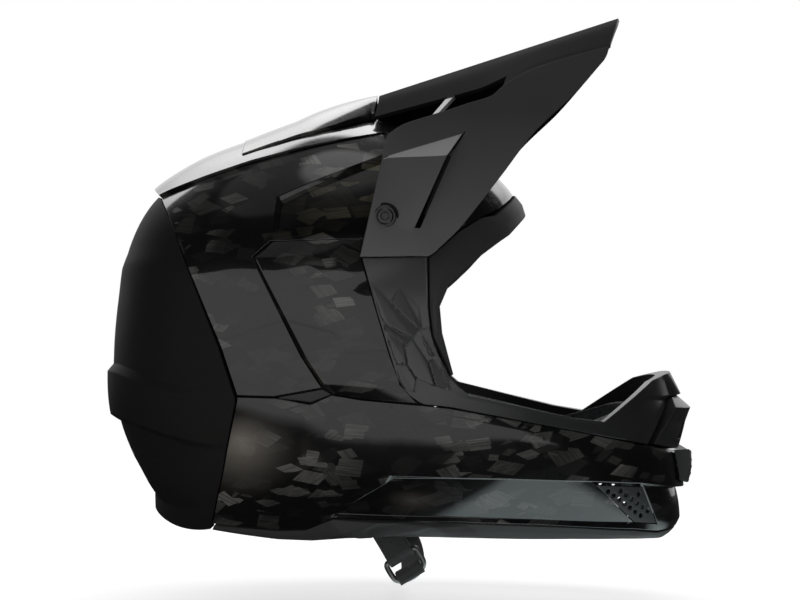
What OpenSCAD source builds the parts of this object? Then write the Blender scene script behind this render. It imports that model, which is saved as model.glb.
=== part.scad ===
// Full-face mountain bike helmet. Millimetres, +X to the front, +Y to the wearer's left, +Z up.
// The origin is the middle of the head space, on the helmet's mid-plane.
// Every outer panel lies on one smooth body: a profile in the mid-plane, swelled sideways.

/* [Outer body] */
// Width of the smooth body across the ears
body_w = 236; // [220:1:250]
// How much narrower each side of the body is at the chin
chin_taper = 14; // [6:1:20]
// Fullness of the cross-section, 2 is an ellipse
fullness = 2.2; // [2.1:0.05:2.4]
// Wall of the outer panels
shell_wall = 4; // [3.4:0.1:5]
// Gap between neighbouring panels
seam_gap = 0.5; // [0.4:0.1:0.8]
// Gap between parts that lie on each other
fit_gap = 0.3; // [0.2:0.05:0.5]
// Depth of the side vent pocket under the visor arm
pocket_depth = 3; // [1:0.1:3.2]
// How far the side panel stands proud
panel_rise = 2.4; // [1:0.1:3]
// How far the rear shell's middle band stands out
band_rise = 3; // [1:0.1:5]
// How far the rear bumper stands out
bumper_rise = 7; // [4:0.1:9]
// How far the chin bar's lower ridge stands out
ridge_rise = 3.5; // [1:0.1:5]
// Height of the sculpted facets on the matte parts
facet_rise = 1.4; // [0.4:0.1:2]
// Height of the roof spine over the roof at its front end
spine_rise = 15; // [10:0.5:18]
// Half width of the roof spine at its front end
spine_half_w = 33; // [26:1:40]
// Where the roof spine ends, just behind the visor
spine_front = 36.2; // [28:0.1:36.4]

/* [Liner and pads] */
// Thickness of the foam liner
liner_t = 22; // [18:1:26]
// Gap round the foam, so that its coarser facets stay clear of the panels and pads
foam_gap = 1.05; // [0.9:0.05:1.3]
// Thickness of the crown and brow pads
pad_t = 9; // [6:0.5:11]
// Thickness of the neck roll
neck_roll_t = 15; // [10:1:18]
// Half width of the face space between the cheek pads
face_half_w = 53; // [48:1:60]

/* [Visor] */
// Height of the visor pivot over the origin
pivot_z = 47; // [42:0.5:52]
// Distance of the visor pivot in front of the origin
pivot_x = 41.6; // [38:0.5:46]
// Wall of the visor moulding
visor_wall = 2.4; // [1.8:0.1:3]
// Space between the visor arm and the shell under it
arm_space = 2; // [1.6:0.1:3]
// Angle by which the visor tilts down from its raised stop
visor_tilt = 15; // [8:1:18]
// Length of the visor from its rear end to its tip, seen from the side
visor_l = 146; // [120:1:160]
// Diameter of the pivot screw's shaft
screw_d = 6; // [4:0.5:7]
// Diameter of the pivot screw's head
screw_head_d = 9.4; // [8:0.2:11]
// Height of the pivot screw's head
screw_head_h = 2.2; // [1.6:0.1:3]
// Size of the hex socket across its flats
hex_size = 4; // [3:0.5:5]
// Diameter of the washer under the screw's head
washer_d = 12.6; // [11:0.2:15]
// Thickness of the washer
washer_t = 1.4; // [1:0.1:2]
// Diameter of the threaded insert that the pivot screw turns into
insert_d = 12; // [10:0.5:14]
// Length of the threaded insert
insert_l = 11; // [9:0.5:14]

/* [Chin] */
// Width of the front grille block
grille_w = 58; // [48:1:66]
// Number of slots in the front grille
grille_slots = 4; // [2:1:6]
// Height of one slot in the front grille
slot_h = 2.2; // [1.5:0.1:3]
// Width of the nose vent block
nose_w = 44; // [34:1:52]
// Distance between the holes of the chin mesh
mesh_pitch = 5.4; // [4.6:0.2:8]
// Width of one hole of the chin mesh
mesh_hole = 3.4; // [2:0.1:4]
// Thickness of the chin mesh
mesh_t = 1.6; // [1:0.1:2.4]

/* [Strap] */
// Width of the strap webbing
strap_w = 16; // [14:1:20]
// Thickness of the strap webbing
strap_t = 2; // [1.4:0.1:2.6]
// Height of the strap's pivot over the origin
strap_pivot_z = -110; // [-114:1:-106]
// Distance of the strap's pivot in front of the origin
strap_pivot_x = 28; // [24:1:34]
// How far the strap leans forward where it hangs
strap_lean = 31; // [20:1:36]
// How far the strap plate lies inside the face of the jaw liner
strap_plate_in = 6; // [5:0.5:7]
// Thickness of the strap's steel plate
strap_plate_t = 1.5; // [1:0.1:2]
// Diameter of the strap rivet
rivet_d = 6; // [4:0.5:8]
// Diameter of the rivet's flange in the foam
rivet_flange_d = 16; // [12:1:20]
// Thickness of the rivet's flange
rivet_flange_t = 3; // [2:0.2:4]
// Diameter of the D-ring wire
ring_wire_d = 3; // [2.4:0.2:4]

/* [Hidden] */

matte = "#2b2b2d";
gloss = "#151517";
foam = "#1c1c1e";
cloth = "#3a3a3d";
steel = "#b9babc";

// Radius of the body's mid-plane profile at every 15 degrees, from the front over the top
profile = [190, 140, 134, 127, 120, 114, 109.5, 105, 105, 109, 115.5, 118, 119, 126, 138.5,
    149, 168, 187, 203, 222, 239, 251, 250, 219];
profile_step = 360 / len(profile);

function bend(p, f) = 0.5 * (2 * p[1] + (p[2] - p[0]) * f + (2 * p[0] - 5 * p[1] + 4 * p[2]
    - p[3]) * f * f + (3 * p[1] - p[0] - 3 * p[2] + p[3]) * f * f * f);
function profile_r(a) = let (t = (a + 720) % 360 / profile_step, i = floor(t), n = len(profile))
    bend([for (k = [-1:2]) profile[(i + k + n) % n]], t - i);
function ease(t) = let (c = min(max(t, 0), 1)) c * c * (3 - 2 * c);
function widest(x) = body_w / 2 - chin_taper * ease((x - 20) / 190);
function angle_of(x, z) = atan2(z, x);
function fill_of(x, y, z) = pow(norm([x, z]) / profile_r(angle_of(x, z)), fullness)
    + pow(abs(y) / widest(x), fullness);

// Half width of the body at a point of the side view
function half_width(x, z) = widest(x) * pow(max(0, 1 - pow(norm([x, z])
    / profile_r(angle_of(x, z)), fullness)), 1 / fullness);
function unit(v) = v / norm(v);
function outward(x, y, z) = let (e = 0.5) unit([
    fill_of(x + e, y, z) - fill_of(x - e, y, z),
    2 * e * fullness * pow(abs(y), fullness - 1) / pow(widest(x), fullness) * sign(y),
    fill_of(x, y, z + e) - fill_of(x, y, z - e)]);

// Point over the side-view place x, z, lifted square to the body
function on_side(x, z, lift) = let (y = half_width(x, z))
    [x, y, z] + lift * outward(x, y, z);

// Point at a distance y from the mid-plane, on the spoke that leaves the body at angle a
function spoke(a, y, w) = profile_r(a) * pow(max(0, 1 - pow(abs(y) / w, fullness)),
    1 / fullness) * [cos(a), sin(a)];
function on_spoke(a, y, lift) = let (
    p = spoke(a, y, widest(profile_r(a) * cos(a))),
    q = spoke(a, y, widest(p[0])),
    s = spoke(a, y, widest(q[0])))
    [s[0], y, s[1]] + lift * outward(s[0], y, s[1]);

// Place between the points of a net of rows, where u counts the rows and v the columns
function between(net, u, v) = let (
    i = min(floor(u), len(net) - 2), j = min(floor(v), len(net[0]) - 2), s = u - i, t = v - j)
    (1 - s) * ((1 - t) * net[i][j] + t * net[i][j + 1])
    + s * ((1 - t) * net[i + 1][j] + t * net[i + 1][j + 1]);
function steps(n, parts, first, last) = [for (k = [0:n * parts])
    min(max(k / parts, first), n - last)];
function length_of(net, i, j, di, dj) = norm([for (k = [0, 1]) net[i + di][j + dj][k]
    - net[i][j][k]]);

// Corners of a net's seams drawn in, so that each panel keeps half of the gap
function rows_in(net, parts) = let (n = len(net) - 1, m = floor(len(net[0]) / 2))
    steps(n, parts, seam_gap / 2 / length_of(net, 0, m, 1, 0),
    seam_gap / 2 / length_of(net, n - 1, m, 1, 0));
function columns_in(net, parts, mid) = let (n = len(net[0]) - 1, m = floor(len(net) / 2))
    steps(n, parts, mid ? 0 : seam_gap / 2 / length_of(net, m, 0, 0, 1),
    seam_gap / 2 / length_of(net, m, n - 1, 0, 1));
function squeeze(v, mid) = mid && v < 1 ? v * v : v;
function flipped(p) = [p[0], -p[1], p[2]];
function both_sides(row) = concat([for (k = [len(row) - 1:-1:1]) flipped(row[k])], row);

// A net whose first column lies in the mid-plane starts on the body's own profile
function from_profile(net) = [for (row = net) let (a = angle_of(row[0][0], row[0][1]))
    concat([[profile_r(a) * cos(a), profile_r(a) * sin(a), row[0][2]]],
    [for (k = [1:len(row) - 1]) row[k]])];

// Grid of points over a side-view net of [x, z, lift]; a given depth replaces the lift
function side_grid(net, parts_u, parts_v, mid, depth = undef) =
    let (used = mid ? from_profile(net) : net)
    [for (u = rows_in(used, parts_u)) let (row = [for (v = columns_in(used, parts_v, mid))
        let (p = between(used, u, squeeze(v, mid)))
        on_side(p[0], p[1], is_undef(depth) ? p[2] : depth)]) mid ? both_sides(row) : row];

function tri_volume(p, f) = cross(p[f[0]], p[f[1]]) * p[f[2]];
function total(list, k = 0, sum = 0) = k == len(list) ? sum : total(list, k + 1, sum + list[k]);

// Closed solid between two grids of points; missing(i, j) names the cells that are openings
module grid_solid(outer, inner, missing = function (i, j) false) {
    rows = len(outer);
    cols = len(outer[0]);
    half = rows * cols;
    points = concat([for (r = outer) each r], [for (r = inner) each r]);
    held = [for (i = [-1:rows - 1]) [for (j = [-1:cols - 1])
        i >= 0 && j >= 0 && i < rows - 1 && j < cols - 1 && !missing(i, j)]];
    function there(i, j) = held[i + 1][j + 1];
    function wall(p, q) = [[q, p, p + half], [q, p + half, q + half]];
    faces = [for (i = [0:rows - 2]) for (j = [0:cols - 2]) if (there(i, j))
        let (a = i * cols + j, b = a + 1, d = a + cols, c = d + 1)
        each concat(
            [[a, b, c], [a, c, d], [a + half, c + half, b + half], [a + half, d + half, c + half]],
            there(i - 1, j) ? [] : wall(a, b), there(i, j + 1) ? [] : wall(b, c),
            there(i + 1, j) ? [] : wall(c, d), there(i, j - 1) ? [] : wall(d, a))];
    inside_out = total([for (f = faces) tri_volume(points, f)]) > 0;
    polyhedron(points, inside_out ? [for (f = faces) [f[2], f[1], f[0]]] : faces);
}

// Panel over a side-view net, with an even inner side, and openings where missing says so
module side_piece(net, parts_u, parts_v, mid = false, missing = function (i, j) false,
    depth = -shell_wall) {
    grid_solid(side_grid(net, parts_u, parts_v, mid), side_grid(net, parts_u, parts_v, mid, depth),
        missing);
}

module left_or_right(side) {
    if (side > 0) children();
    else mirror([0, 1, 0]) children();
}

// Seams in the side view, each used by the panels on both sides of it
roof_seam = [[-91.8, 60.5], [-62, 70.8], [-35, 79.3], [-5, 87], [41.5, 97.6], [75, 82],
    [93, 68], [106, 52]];
roof_middle = [146.5, 128, 113, 97, 74, 54, 40, 28.6];

// How far the roof stands off the body in its middle and at its seam, row by row
roof_tail = [6, 3.4, 0.4, 0, 0, 0, 0, 0];
roof_edge = [2.5, 2, 2, 1.8, 0.8, 0.2, 0, 0];
function part_of(list, u) = let (i = min(floor(u), len(list) - 2), t = u - i)
    (1 - t) * list[i] + t * list[i + 1];
function roof_lift(u, f) = part_of(roof_tail, u) * (1 - f * f) + part_of(roof_edge, u) * pow(f, 6);
function roof_edge_y(u) = let (s = part_of(roof_seam, u)) half_width(s[0], s[1]) - seam_gap / 2;

// Point on the roof's row u, at the share f of the way from the mid-plane to the seam
function roof_spot(u, f, lift) = let (s = part_of(roof_seam, u), a = part_of(roof_middle, u))
    on_spoke(a + (angle_of(s[0], s[1]) - a) * abs(f), roof_edge_y(u) * f, lift);

// Roof shell: from the tail to the brow, across the mid-plane
module roof_shell() {
    spread = [0, 0.18, 0.36, 0.56, 0.77, 1];
    us = steps(len(roof_seam) - 1, 2, 0.01, 0.015);
    color(gloss) grid_solid(
        [for (u = us) both_sides([for (f = spread) roof_spot(u, f, roof_lift(u, f))])],
        [for (u = us) both_sides([for (f = spread) roof_spot(u, f, -shell_wall)])]);
}

// Row of the roof that passes over a place of the plan, and the point of its face there
function roof_row(x, y, low = 0, high = 7, turns = 15) = let (m = (low + high) / 2)
    turns == 0 ? m : roof_spot(m, y / roof_edge_y(m), 0)[0] < x ? roof_row(x, y, m, high, turns - 1)
    : roof_row(x, y, low, m, turns - 1);
function on_roof(x, y) = let (u = roof_row(x, y), f = y / roof_edge_y(u))
    roof_spot(u, f, roof_lift(u, abs(f)) + fit_gap);

// Spine: the raised middle of the roof, with low upright flanks that grow towards the visor.
// Its half width is given as shares of the body's, from behind to the front.
spine_rear = -42;
spine_edge = [[-42, 1.806], [-20, 1.909], [0, 1.939], [15, 1.736], [25, 1.455], [30, 1.23],
    [34, 1]];
module roof_spine() {
    stations = 12;
    across = [-1, -0.94, -0.8, -0.6, -0.4, -0.2, 0, 0.2, 0.4, 0.6, 0.8, 0.94, 1];
    function spot(k, f) = let (x = spine_rear + (spine_front - spine_rear) * k / stations)
        on_roof(x - 1.6 * f * f * k / stations, f * spine_half_w * lookup(x, spine_edge));
    function flank(t) = 0.5 + 3.6 * pow(t, 1.5);
    function crown(t) = let (c = max(0, (t - 0.28) / 0.72))
        max(0, spine_rise * pow(c, 1.25) - flank(t));
    function top(k, f) = spot(k, f * 0.985)
        + [0, 0, flank(k / stations) + crown(k / stations) * (1 - f * f)];
    color(gloss) grid_solid([for (k = [0:stations]) [for (f = across) top(k, f)]],
        [for (k = [0:stations]) [for (f = across) spot(k, f)]]);
}

// Side shell: the upper flank with the vent pocket, and the column behind the side panel
side_shell_net = let (d = -pocket_depth) [
    [[-91.8, 60.5, 0], [-62, 70.8, 0], [-35, 79.3, 0], [-31, 80.3, 0], [-5, 87, 0],
        [41.5, 97.6, 0], [75, 82, 0], [93, 68, 0], [106, 52, 0]],
    [[-85, 50, 0], [-55, 60, 0], [-21, 57.6, 0], [-17.5, 59.4, 0], [-4.4, 65.2, 0],
        [41, 84, 0], [73, 68, 0], [90, 59, 0], [103.7, 51, 0]],
    [[-84, 48, 0], [-54, 57, 0], [-20.5, 56, 0], [-17, 55.6, d], [-3.6, 62.4, d],
        [40, 80.8, d], [72.5, 66, 0], [89.6, 58, 0], [103.3, 50.8, 0]],
    [[-76.5, 32, 0], [-52, 38, 0], [-22.4, 35.6, 0], [-19, 36.6, d], [0, 36.8, d],
        [29.6, 37.6, d], [68, 36, 0], [86, 46, 0], [100, 49.5, 0]],
    [[-75, 29, 0], [-52, 35, 0], [-23, 33.2, 0], [-20, 33.5, -1], [0, 34, -1],
        [29, 34.8, -1], [67.5, 33, 0], [85.5, 44.5, 0], [99.4, 49.2, 0]],
    [[-71.6, 21, 0], [-52, 22, 0], [-33.2, 24, 0], [-20, 28, 0], [0, 28, 0], [28, 24, 0],
        [66, 25, 0], [84, 40, 0], [98, 48.6, 0]],
    [[-51, -26, 0], [-29, -29, 0], [-5.4, -31.5, 0], [0, -31, 0], [6, -31, 0], [28, -30, 0],
        [66, -30, 0], [84, -30, 0], [98, -30, 0]],
    [[-41.8, -54, 0], [-20.6, -54.4, 0], [6.2, -49.4, 0], [12, -49, 0], [16, -49, 0],
        [28, -49, 0], [66, -49, 0], [84, -49, 0], [98, -49, 0]]];

module side_shell(side) {
    parts = 2;
    panel_place = function (i, j) let (r = floor(i / parts), c = floor(j / parts))
        (r >= 5 && c >= 2) || (r == 4 && c >= 2 && c < 5);
    color(gloss) left_or_right(side) difference() {
        side_piece(side_shell_net, parts, parts, missing = panel_place);
        pivot_axis(60) cylinder(d = insert_d + 2 * fit_gap, h = 80, $fn = 48);
    }
}
module side_shell_left() { side_shell(1); }
module side_shell_right() { side_shell(-1); }

// Side panel: a raised plate in front of the column, with a sloped shelf along its top
side_panel_net = let (h = panel_rise) [
    [[-21.5, 33.2, -1], [4, 34, -1], [29, 34.8, -1]],
    [[-33, 23, h], [0, 23.2, h], [28, 23.6, 1]],
    [[-5.2, -31.4, h], [20, -31.8, h + 0.4], [44.4, -31.5, 1]],
    [[5.6, -46.8, h], [27, -48, h], [50.4, -47.6, 0.8]],
    [[12, -52.2, 0.6], [28, -55.4, 1], [60, -58.2, 0.4]]];
module side_panel(side) {
    color(gloss) left_or_right(side) side_piece(side_panel_net, 3, 4);
}
module side_panel_left() { side_panel(1); }
module side_panel_right() { side_panel(-1); }

// Small triangular vent insert where the column, the panel and the chin bar meet
side_vent_net = [
    [[-18.5, -55.1, -2.4], [-5, -52.6, -2.4], [6.6, -50.4, -2.4], [11, -53, -2.4]],
    [[-18.3, -55.6, -2.4], [-9, -56.6, -2.4], [-0.4, -57.7, -2.4], [10.6, -53.5, -2.4]]];
module side_vent(side) {
    color(matte) left_or_right(side) side_piece(side_vent_net, 1, 2);
}
module side_vent_left() { side_vent(1); }
module side_vent_right() { side_vent(-1); }

// Rear shell: matte, wraps round the back with a middle band and a bumper
rear_seam = [[-91.8, 60.5], [-82, 44.6], [-73.2, 24.6], [-70.5, 18.4], [-51, -26],
    [-45.8, -42], [-44.4, -46.6], [-41.8, -54.3], [-42.2, -57.5], [-47.2, -80], [-47.8, -82.6],
    [-50.8, -98], [-54.8, -113], [-59, -129.3]];
rear_middle = [147.5, 156, 167.8, 171.5, 195.5, 197.5, 199.4, 204, 206, 209.5, 211.5, 220, 226.6,
    232];
rear_rise = [0, 0, 0, band_rise, band_rise, band_rise, bumper_rise, bumper_rise, bumper_rise,
    bumper_rise, 0, 0, 1.5, 0];
// How late each row turns from its angle in the middle to its angle at the seam
rear_turn = [1, 1, 1, 1.5, 3, 4, 4, 4, 4, 4, 3.6, 2.2, 1.3, 1];
module rear_shell() {
    spread = [0, 0.16, 0.32, 0.48, 0.63, 0.76, 0.87, 0.95, 1];
    parts = [2, 2, 1, 4, 1, 1, 1, 1, 1, 1, 1, 1, 1];
    us = concat([for (i = [0:len(parts) - 1]) for (k = [0:parts[i] - 1]) i + k / parts[i]],
        [len(parts)]);
    function row(u, depth) = let (
        s = part_of(rear_seam, u), a = part_of(rear_middle, u), turn = part_of(rear_turn, u),
        aim = (angle_of(s[0], s[1]) + 360) % 360,
        lift = part_of(rear_rise, u),
        y = half_width(s[0], s[1]) - seam_gap)
        both_sides([for (f = spread) on_spoke(a + (aim - a) * pow(f, turn), y * f,
            is_undef(depth) ? lift * (1 - pow(f, 8)) : depth)]);
    color(matte) grid_solid([for (u = us) row(u)], [for (u = us) row(u, -shell_wall)]);
}

// Chin bar shell: from the seam under the face frame down to the lower rim, round the front
chin_net = let (h = ridge_rise) [
    [[213, -88.7, 0], [190, -84.4, 0], [160, -77.6, 0], [116, -68.6, 0], [78, -61, 0],
        [62, -59.2, 0], [28, -55.8, 0], [12, -53, 0], [0, -58.6, 0], [-20.6, -55, 0],
        [-41.8, -54.6, 0]],
    [[213.4, -90.4, 0.6], [190, -86, 0.6], [160, -79.4, 0.6], [116, -71.4, 0.6],
        [78, -65, 0.6], [55, -62.8, 0.6], [27.6, -62.7, 0.6], [8, -61, 0.4], [-3, -60, 0.2],
        [-21, -57.5, 0], [-42, -57, 0]],
    [[212, -107.5, h], [186, -104, h], [157, -101, h], [112, -97.3, h], [80, -95, h],
        [50, -92.6, h * 0.7], [40, -91.8, h * 0.6], [10, -89.5, h * 0.3], [-6, -88, 0],
        [-23, -86, 0], [-47.6, -82, 0]],
    [[213, -110, -1.6], [193.6, -108.6, -1.6], [162, -105.8, -1.6], [112, -103.8, -1.6],
        [80, -102.8, -1.6], [46.6, -102.1, -1.6], [42, -103, h * 0.5], [11, -106, 0],
        [-9, -104, 0], [-26, -101, 0], [-50.8, -98, 0]],
    [[218, -131.4, 5.5], [202, -132.4, 1.5], [188.8, -131.6, -1.6], [128, -126.6, -1.6],
        [78, -123.8, -1.6], [13, -121.4, -1.6], [10, -122.4, 0], [-3, -127.6, 0],
        [-19, -128.4, 0], [-37, -127.4, 0], [-57.6, -126.3, 0]],
    [[216, -136.6, 5], [203, -137.4, 1.6], [189, -135.4, 0.2], [128, -129.4, 0.2],
        [78, -126.4, 0.2], [12, -123.6, 0.2], [9, -125, 0.2], [-3.6, -130.6, 0],
        [-20, -131.4, 0], [-38, -130.4, 0], [-59, -129.3, 0]]];
chin_parts = 2;
module chin_bar_shell() {
    side_cols = (len(chin_net[0]) - 1) * chin_parts;
    vent_place = function (i, j) let (r = floor(i / chin_parts),
        c = floor((j >= side_cols ? j - side_cols : side_cols - 1 - j) / chin_parts))
        (r == 3 && c == 1);
    color(gloss) side_piece(chin_net, chin_parts, chin_parts, mid = true,
        missing = vent_place);
}

// Face frame: the matte, sculpted pillars and the upper trim of the chin bar, in one moulding.
// Its nose is sunk where the nose vent lies on it.
frame_inner = [[207, -43], [206.4, -43.8], [204.4, -44.6], [199, -47], [168, -70.2],
    [150, -67.6], [120.2, -60.8], [88.7, -53.3], [84, -49], [78.6, -43.3], [72, -31],
    [68, -20.2], [66.3, -4.5], [66, 24.6]];
frame_outer = [[213, -88.2], [197.2, -85.6], [195, -85.1], [190, -83.8], [172, -79.8],
    [150, -75], [116, -68], [78.2, -60.4], [62.6, -58.6], [53.7, -52.4], [48.4, -43.6],
    [42.6, -25], [37, -6.6], [28.4, 23.6]];
nose_sink = 6;
nose_t = 0.32;
nose_bend = [[209.9, -57.8], [207.9, -57.2]];
function nose_edge(t, j) = t < nose_t
    ? frame_inner[j] + (nose_bend[j - 1] - frame_inner[j]) * t / nose_t
    : nose_bend[j - 1] + (frame_outer[j] - nose_bend[j - 1]) * (t - nose_t) / (1 - nose_t);
module face_frame() {
    strips = [0, 0.27, nose_t, 0.66, 1];
    last = len(frame_inner) - 1;
    // The nose stands out over the nose vent and runs down into the plain trim
    nose_rise = [[5.5, 5, 2.5, 1.2], [8.5, 8, 3, 1]];
    function sculpt(i, j) = i < 2 && j < 4 ? nose_rise[i][j] : i == 0 ? 0.6
        : j < 2 ? -nose_sink : j < 7 || j == last ? 0.3 : facet_rise * ((i + j) % 2);
    net = [for (i = [0:len(strips) - 1]) [for (j = [0:last]) let (t = strips[i],
        p = j == 1 || j == 2 ? nose_edge(t, j) : (1 - t) * frame_inner[j] + t * frame_outer[j])
        [p[0], p[1], sculpt(i, j)]]];
    color(matte) grid_solid(side_grid(net, 1, 2, true),
        side_grid([for (row = net) [for (p = row) [p[0], p[1], min(p[2], 0) - shell_wall]]],
        1, 2, true));
}

// Eyeport trim: the matte band round the brow and down in front of the pillars
eyeport_trim_net = [
    [[118.8, 63.6, 0.8], [117.6, 60.8, 0.8], [104.8, 49.4, 0.5], [98.2, 48.2, 0.5],
        [84.4, 39.6, 0.5], [66.4, 24.4, 0.5], [66.8, -4.5, 0.5], [68.6, -20.2, 0.5],
        [78, -40.5, 0.5]],
    [[125, 58.6, 2.6], [121.6, 55.4, 2.6], [110.6, 44, 2.6], [103.4, 38.6, 2.4],
        [88.6, 28.6, 2], [73.6, 15.6, 1.4], [69.8, -4.2, 1.2], [71, -19.4, 1.2],
        [79.6, -40, 1]],
    [[127, 51, 2], [122.6, 47.4, 2], [113.4, 37.4, 1.6], [101, 29.4, 1.2], [88, 18, 0.8],
        [77.4, 7.4, 0.6], [72.6, -3.6, 0.4], [74, -18.6, 0.2], [81.4, -39.4, 0]]];
module eyeport_trim() {
    color(matte) side_piece(eyeport_trim_net, 2, 2, mid = true, depth = -shell_wall - 5);
}

// Lower rim: the matte facetted edge under the chin bar and the sides
rim_upper = [[216, -137], [203, -138], [189, -136], [150, -131.7], [128, -130], [96, -128],
    [78, -127], [50, -125.6], [12, -124.2], [-3.6, -131.2], [-20, -132], [-38, -131],
    [-58.6, -130]];
rim_lower = [[207.6, -142.4], [197, -142], [180, -140.6], [150, -139], [120, -137.8],
    [92, -136.4], [70, -135.4], [46, -134.6], [20, -135.8], [0, -137.4], [-20, -137],
    [-40, -135], [-61, -132.4]];
module lower_rim() {
    net = [for (i = [0:2]) [for (j = [0:len(rim_upper) - 1]) let (t = i / 2,
        p = (1 - t) * rim_upper[j] + t * rim_lower[j],
        corner = j == 0 ? 5 - 2 * i : j == 1 ? 1.6 - 0.8 * i : 0,
        sculpt = i == 1 ? facet_rise * (j % 2) + 0.4 : 0)
        [p[0], p[1], sculpt + corner]]];
    color(matte) side_piece(net, 1, 2, mid = true);
}

// Front grille: a block with level slots that follows the front of the chin bar
grille_top_a = -22.9;
grille_bottom_a = -26.7;
module front_grille() {
    span = grille_bottom_a - grille_top_a;
    half_slot = slot_h / 2 / profile_r(grille_top_a) * 180 / PI;
    // The slots divide the block's height, with a rim over and under them
    cuts = [for (k = [0:grille_slots - 1]) let (c = grille_top_a + span * (k + 0.8)
        / (grille_slots + 0.6)) each [c + half_slot, c - half_slot]];
    levels = concat([grille_top_a], cuts, [grille_bottom_a]);
    ys = grille_w / 2 * [-1, -0.84, -0.56, -0.28, 0, 0.28, 0.56, 0.84, 1];
    function part(a) = (a - grille_top_a) / span;
    function front(a, y) = 8 - 2.4 * pow(part(a), 3) - 2.6 * pow(2 * abs(y) / grille_w, 2);
    function back(a) = 1.2 + (ridge_rise - 0.6) * part(a);
    slot_place = function (i, j) i % 2 == 1 && i < 2 * grille_slots && j > 0 && j < len(ys) - 2;
    color(matte) grid_solid([for (a = levels) [for (y = ys) on_spoke(a, y, front(a, y))]],
        [for (a = levels) [for (y = ys) on_spoke(a, y, back(a))]], slot_place);
}

// Nose vent: the wedge over the grille, with a lip along its top and slots towards the mouth.
// Each row is its angle in the middle and at its ends, its half width, and both lifts.
nose_rows = [[-15.5, -15.6, 20.5, 4, 3], [-16.6, -16.8, 27.4, 10.5, 5],
    [-17.4, -17.6, 30.4, 7.5, 3.5], [-18.4, -18.6, 34.4, 5.5, 2], [-21.2, -21.6, 43.6, 0, 0.4],
    [-22.1, -22.8, 47.2, -2, -0.4]];
module nose_vent() {
    across = [-1, -0.7, -0.5, -0.3, -0.12, 0.12, 0.3, 0.5, 0.7, 1];
    function place(r, f, lift) = on_spoke(r[0] + (r[1] - r[0]) * f * f, r[2] * f, lift);
    vent_place = function (i, j) i == 3 && j % 2 == 0 && j > 0 && j < len(across) - 2;
    color(matte) grid_solid(
        [for (r = nose_rows) [for (f = across) place(r, f, r[3] + (r[4] - r[3]) * f * f)]],
        [for (r = nose_rows) [for (f = across) place(r, f, foam_gap - nose_sink)]], vent_place);
}

// Chin mesh: a thin plate of six-sided holes in the vent opening of the chin bar
mesh_corners = [[163, -106.8], [192.8, -109.6], [201, -131.6], [188.6, -131]];
module chin_mesh(side) {
    middle = (mesh_corners[0] + mesh_corners[2]) / 2;
    seat = on_side(middle[0], middle[1], -shell_wall / 2);
    face = outward(seat[0], seat[1], seat[2]);
    turn_z = atan2(face[1], face[0]);
    lean = acos(face[2]);
    // Size of a mesh hole's place in rows and columns
    color(matte) left_or_right(side) translate(seat) rotate([0, lean, turn_z]) {
        to_plate = function (p) let (q = on_side(p[0], p[1], -shell_wall / 2) - seat,
            c = cos(turn_z), s = sin(turn_z), flat = [c * q[0] + s * q[1], c * q[1] - s * q[0], q[2]])
            [cos(lean) * flat[0] - sin(lean) * flat[2], flat[1]];
        corners = [for (p = mesh_corners) to_plate(p)];
        xs = [for (p = corners) p[0]];
        ys = [for (p = corners) p[1]];
        linear_extrude(mesh_t, center = true) difference() {
            polygon(corners);
            intersection() {
                offset(delta = -1.6) polygon(corners);
                for (i = [0:floor((max(xs) - min(xs)) / mesh_pitch)])
                    for (j = [0:floor((max(ys) - min(ys)) / (mesh_pitch * 0.87))])
                        translate([min(xs) + (i + (j % 2) / 2) * mesh_pitch,
                            min(ys) + j * mesh_pitch * 0.87]) circle(d = mesh_hole, $fn = 6);
            }
        }
    }
}
module chin_mesh_left() { chin_mesh(1); }
module chin_mesh_right() { chin_mesh(-1); }

// Foam liner of the head: from the brow over the top to the nape, open at the ears
liner_out = -shell_wall - foam_gap;
liner_in = liner_out - liner_t;
ear_edge = 0.93;
function wrap_grid(angles, ys, lift) = [for (a = angles) [for (y = ys) on_spoke(a, y, lift)]];
function from_to(first, last, parts) = [for (k = [0:parts]) first + (last - first) * k / parts];
module head_liner() {
    angles = from_to(31, 229, 24);
    half = [0.1, 0.24, 0.38, 0.52, 0.65, 0.77, 0.87, 0.94, 1];
    ys = ear_edge * widest(0) * concat([for (k = [8:-1:0]) -half[k]], half);
    color(foam) difference() {
        grid_solid(wrap_grid(angles, ys, liner_out), wrap_grid(angles, ys, liner_in));
        on_both_sides() pivot_axis(pivot_shell_y - insert_l - 1)
            cylinder(d = insert_d + 2 * fit_gap, h = 40, $fn = 48);
    }
}

// Foam liner of the chin bar, open behind the chin mesh, sunk where the bar's facet is
recess = 1.8;
chin_liner_net = let (a = liner_out, b = -nose_sink - shell_wall - foam_gap - 0.5,
    c = liner_out - recess) [
    [[206, -56, b], [192, -62, b], [160, -74, a], [116, -65, a], [84, -57, a]],
    [[208, -92, b], [190, -91, b], [158, -90, a], [112, -88, a], [80, -86, a]],
    [[209, -104, a], [188, -104, a], [154, -103, a], [108, -100, a], [76, -98, a]],
    [[211, -110, c], [191, -110, c], [160, -108, c], [110, -106, c], [76, -104, c]],
    [[212, -132, c], [203, -132.4, c], [183, -130.6, c], [116, -126, c], [74, -124, c]]];
chin_liner_in = liner_out - 15;
module chin_liner() {
    parts = 2;
    side_cols = (len(chin_liner_net[0]) - 1) * parts;
    vent_place = function (i, j) let (r = floor(i / parts),
        c = floor((j >= side_cols ? j - side_cols : side_cols - 1 - j) / parts))
        (r == 3 && c == 1);
    color(foam) grid_solid(side_grid(chin_liner_net, parts, parts, true),
        side_grid(chin_liner_net, parts, parts, true, chin_liner_in), vent_place);
}

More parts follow.
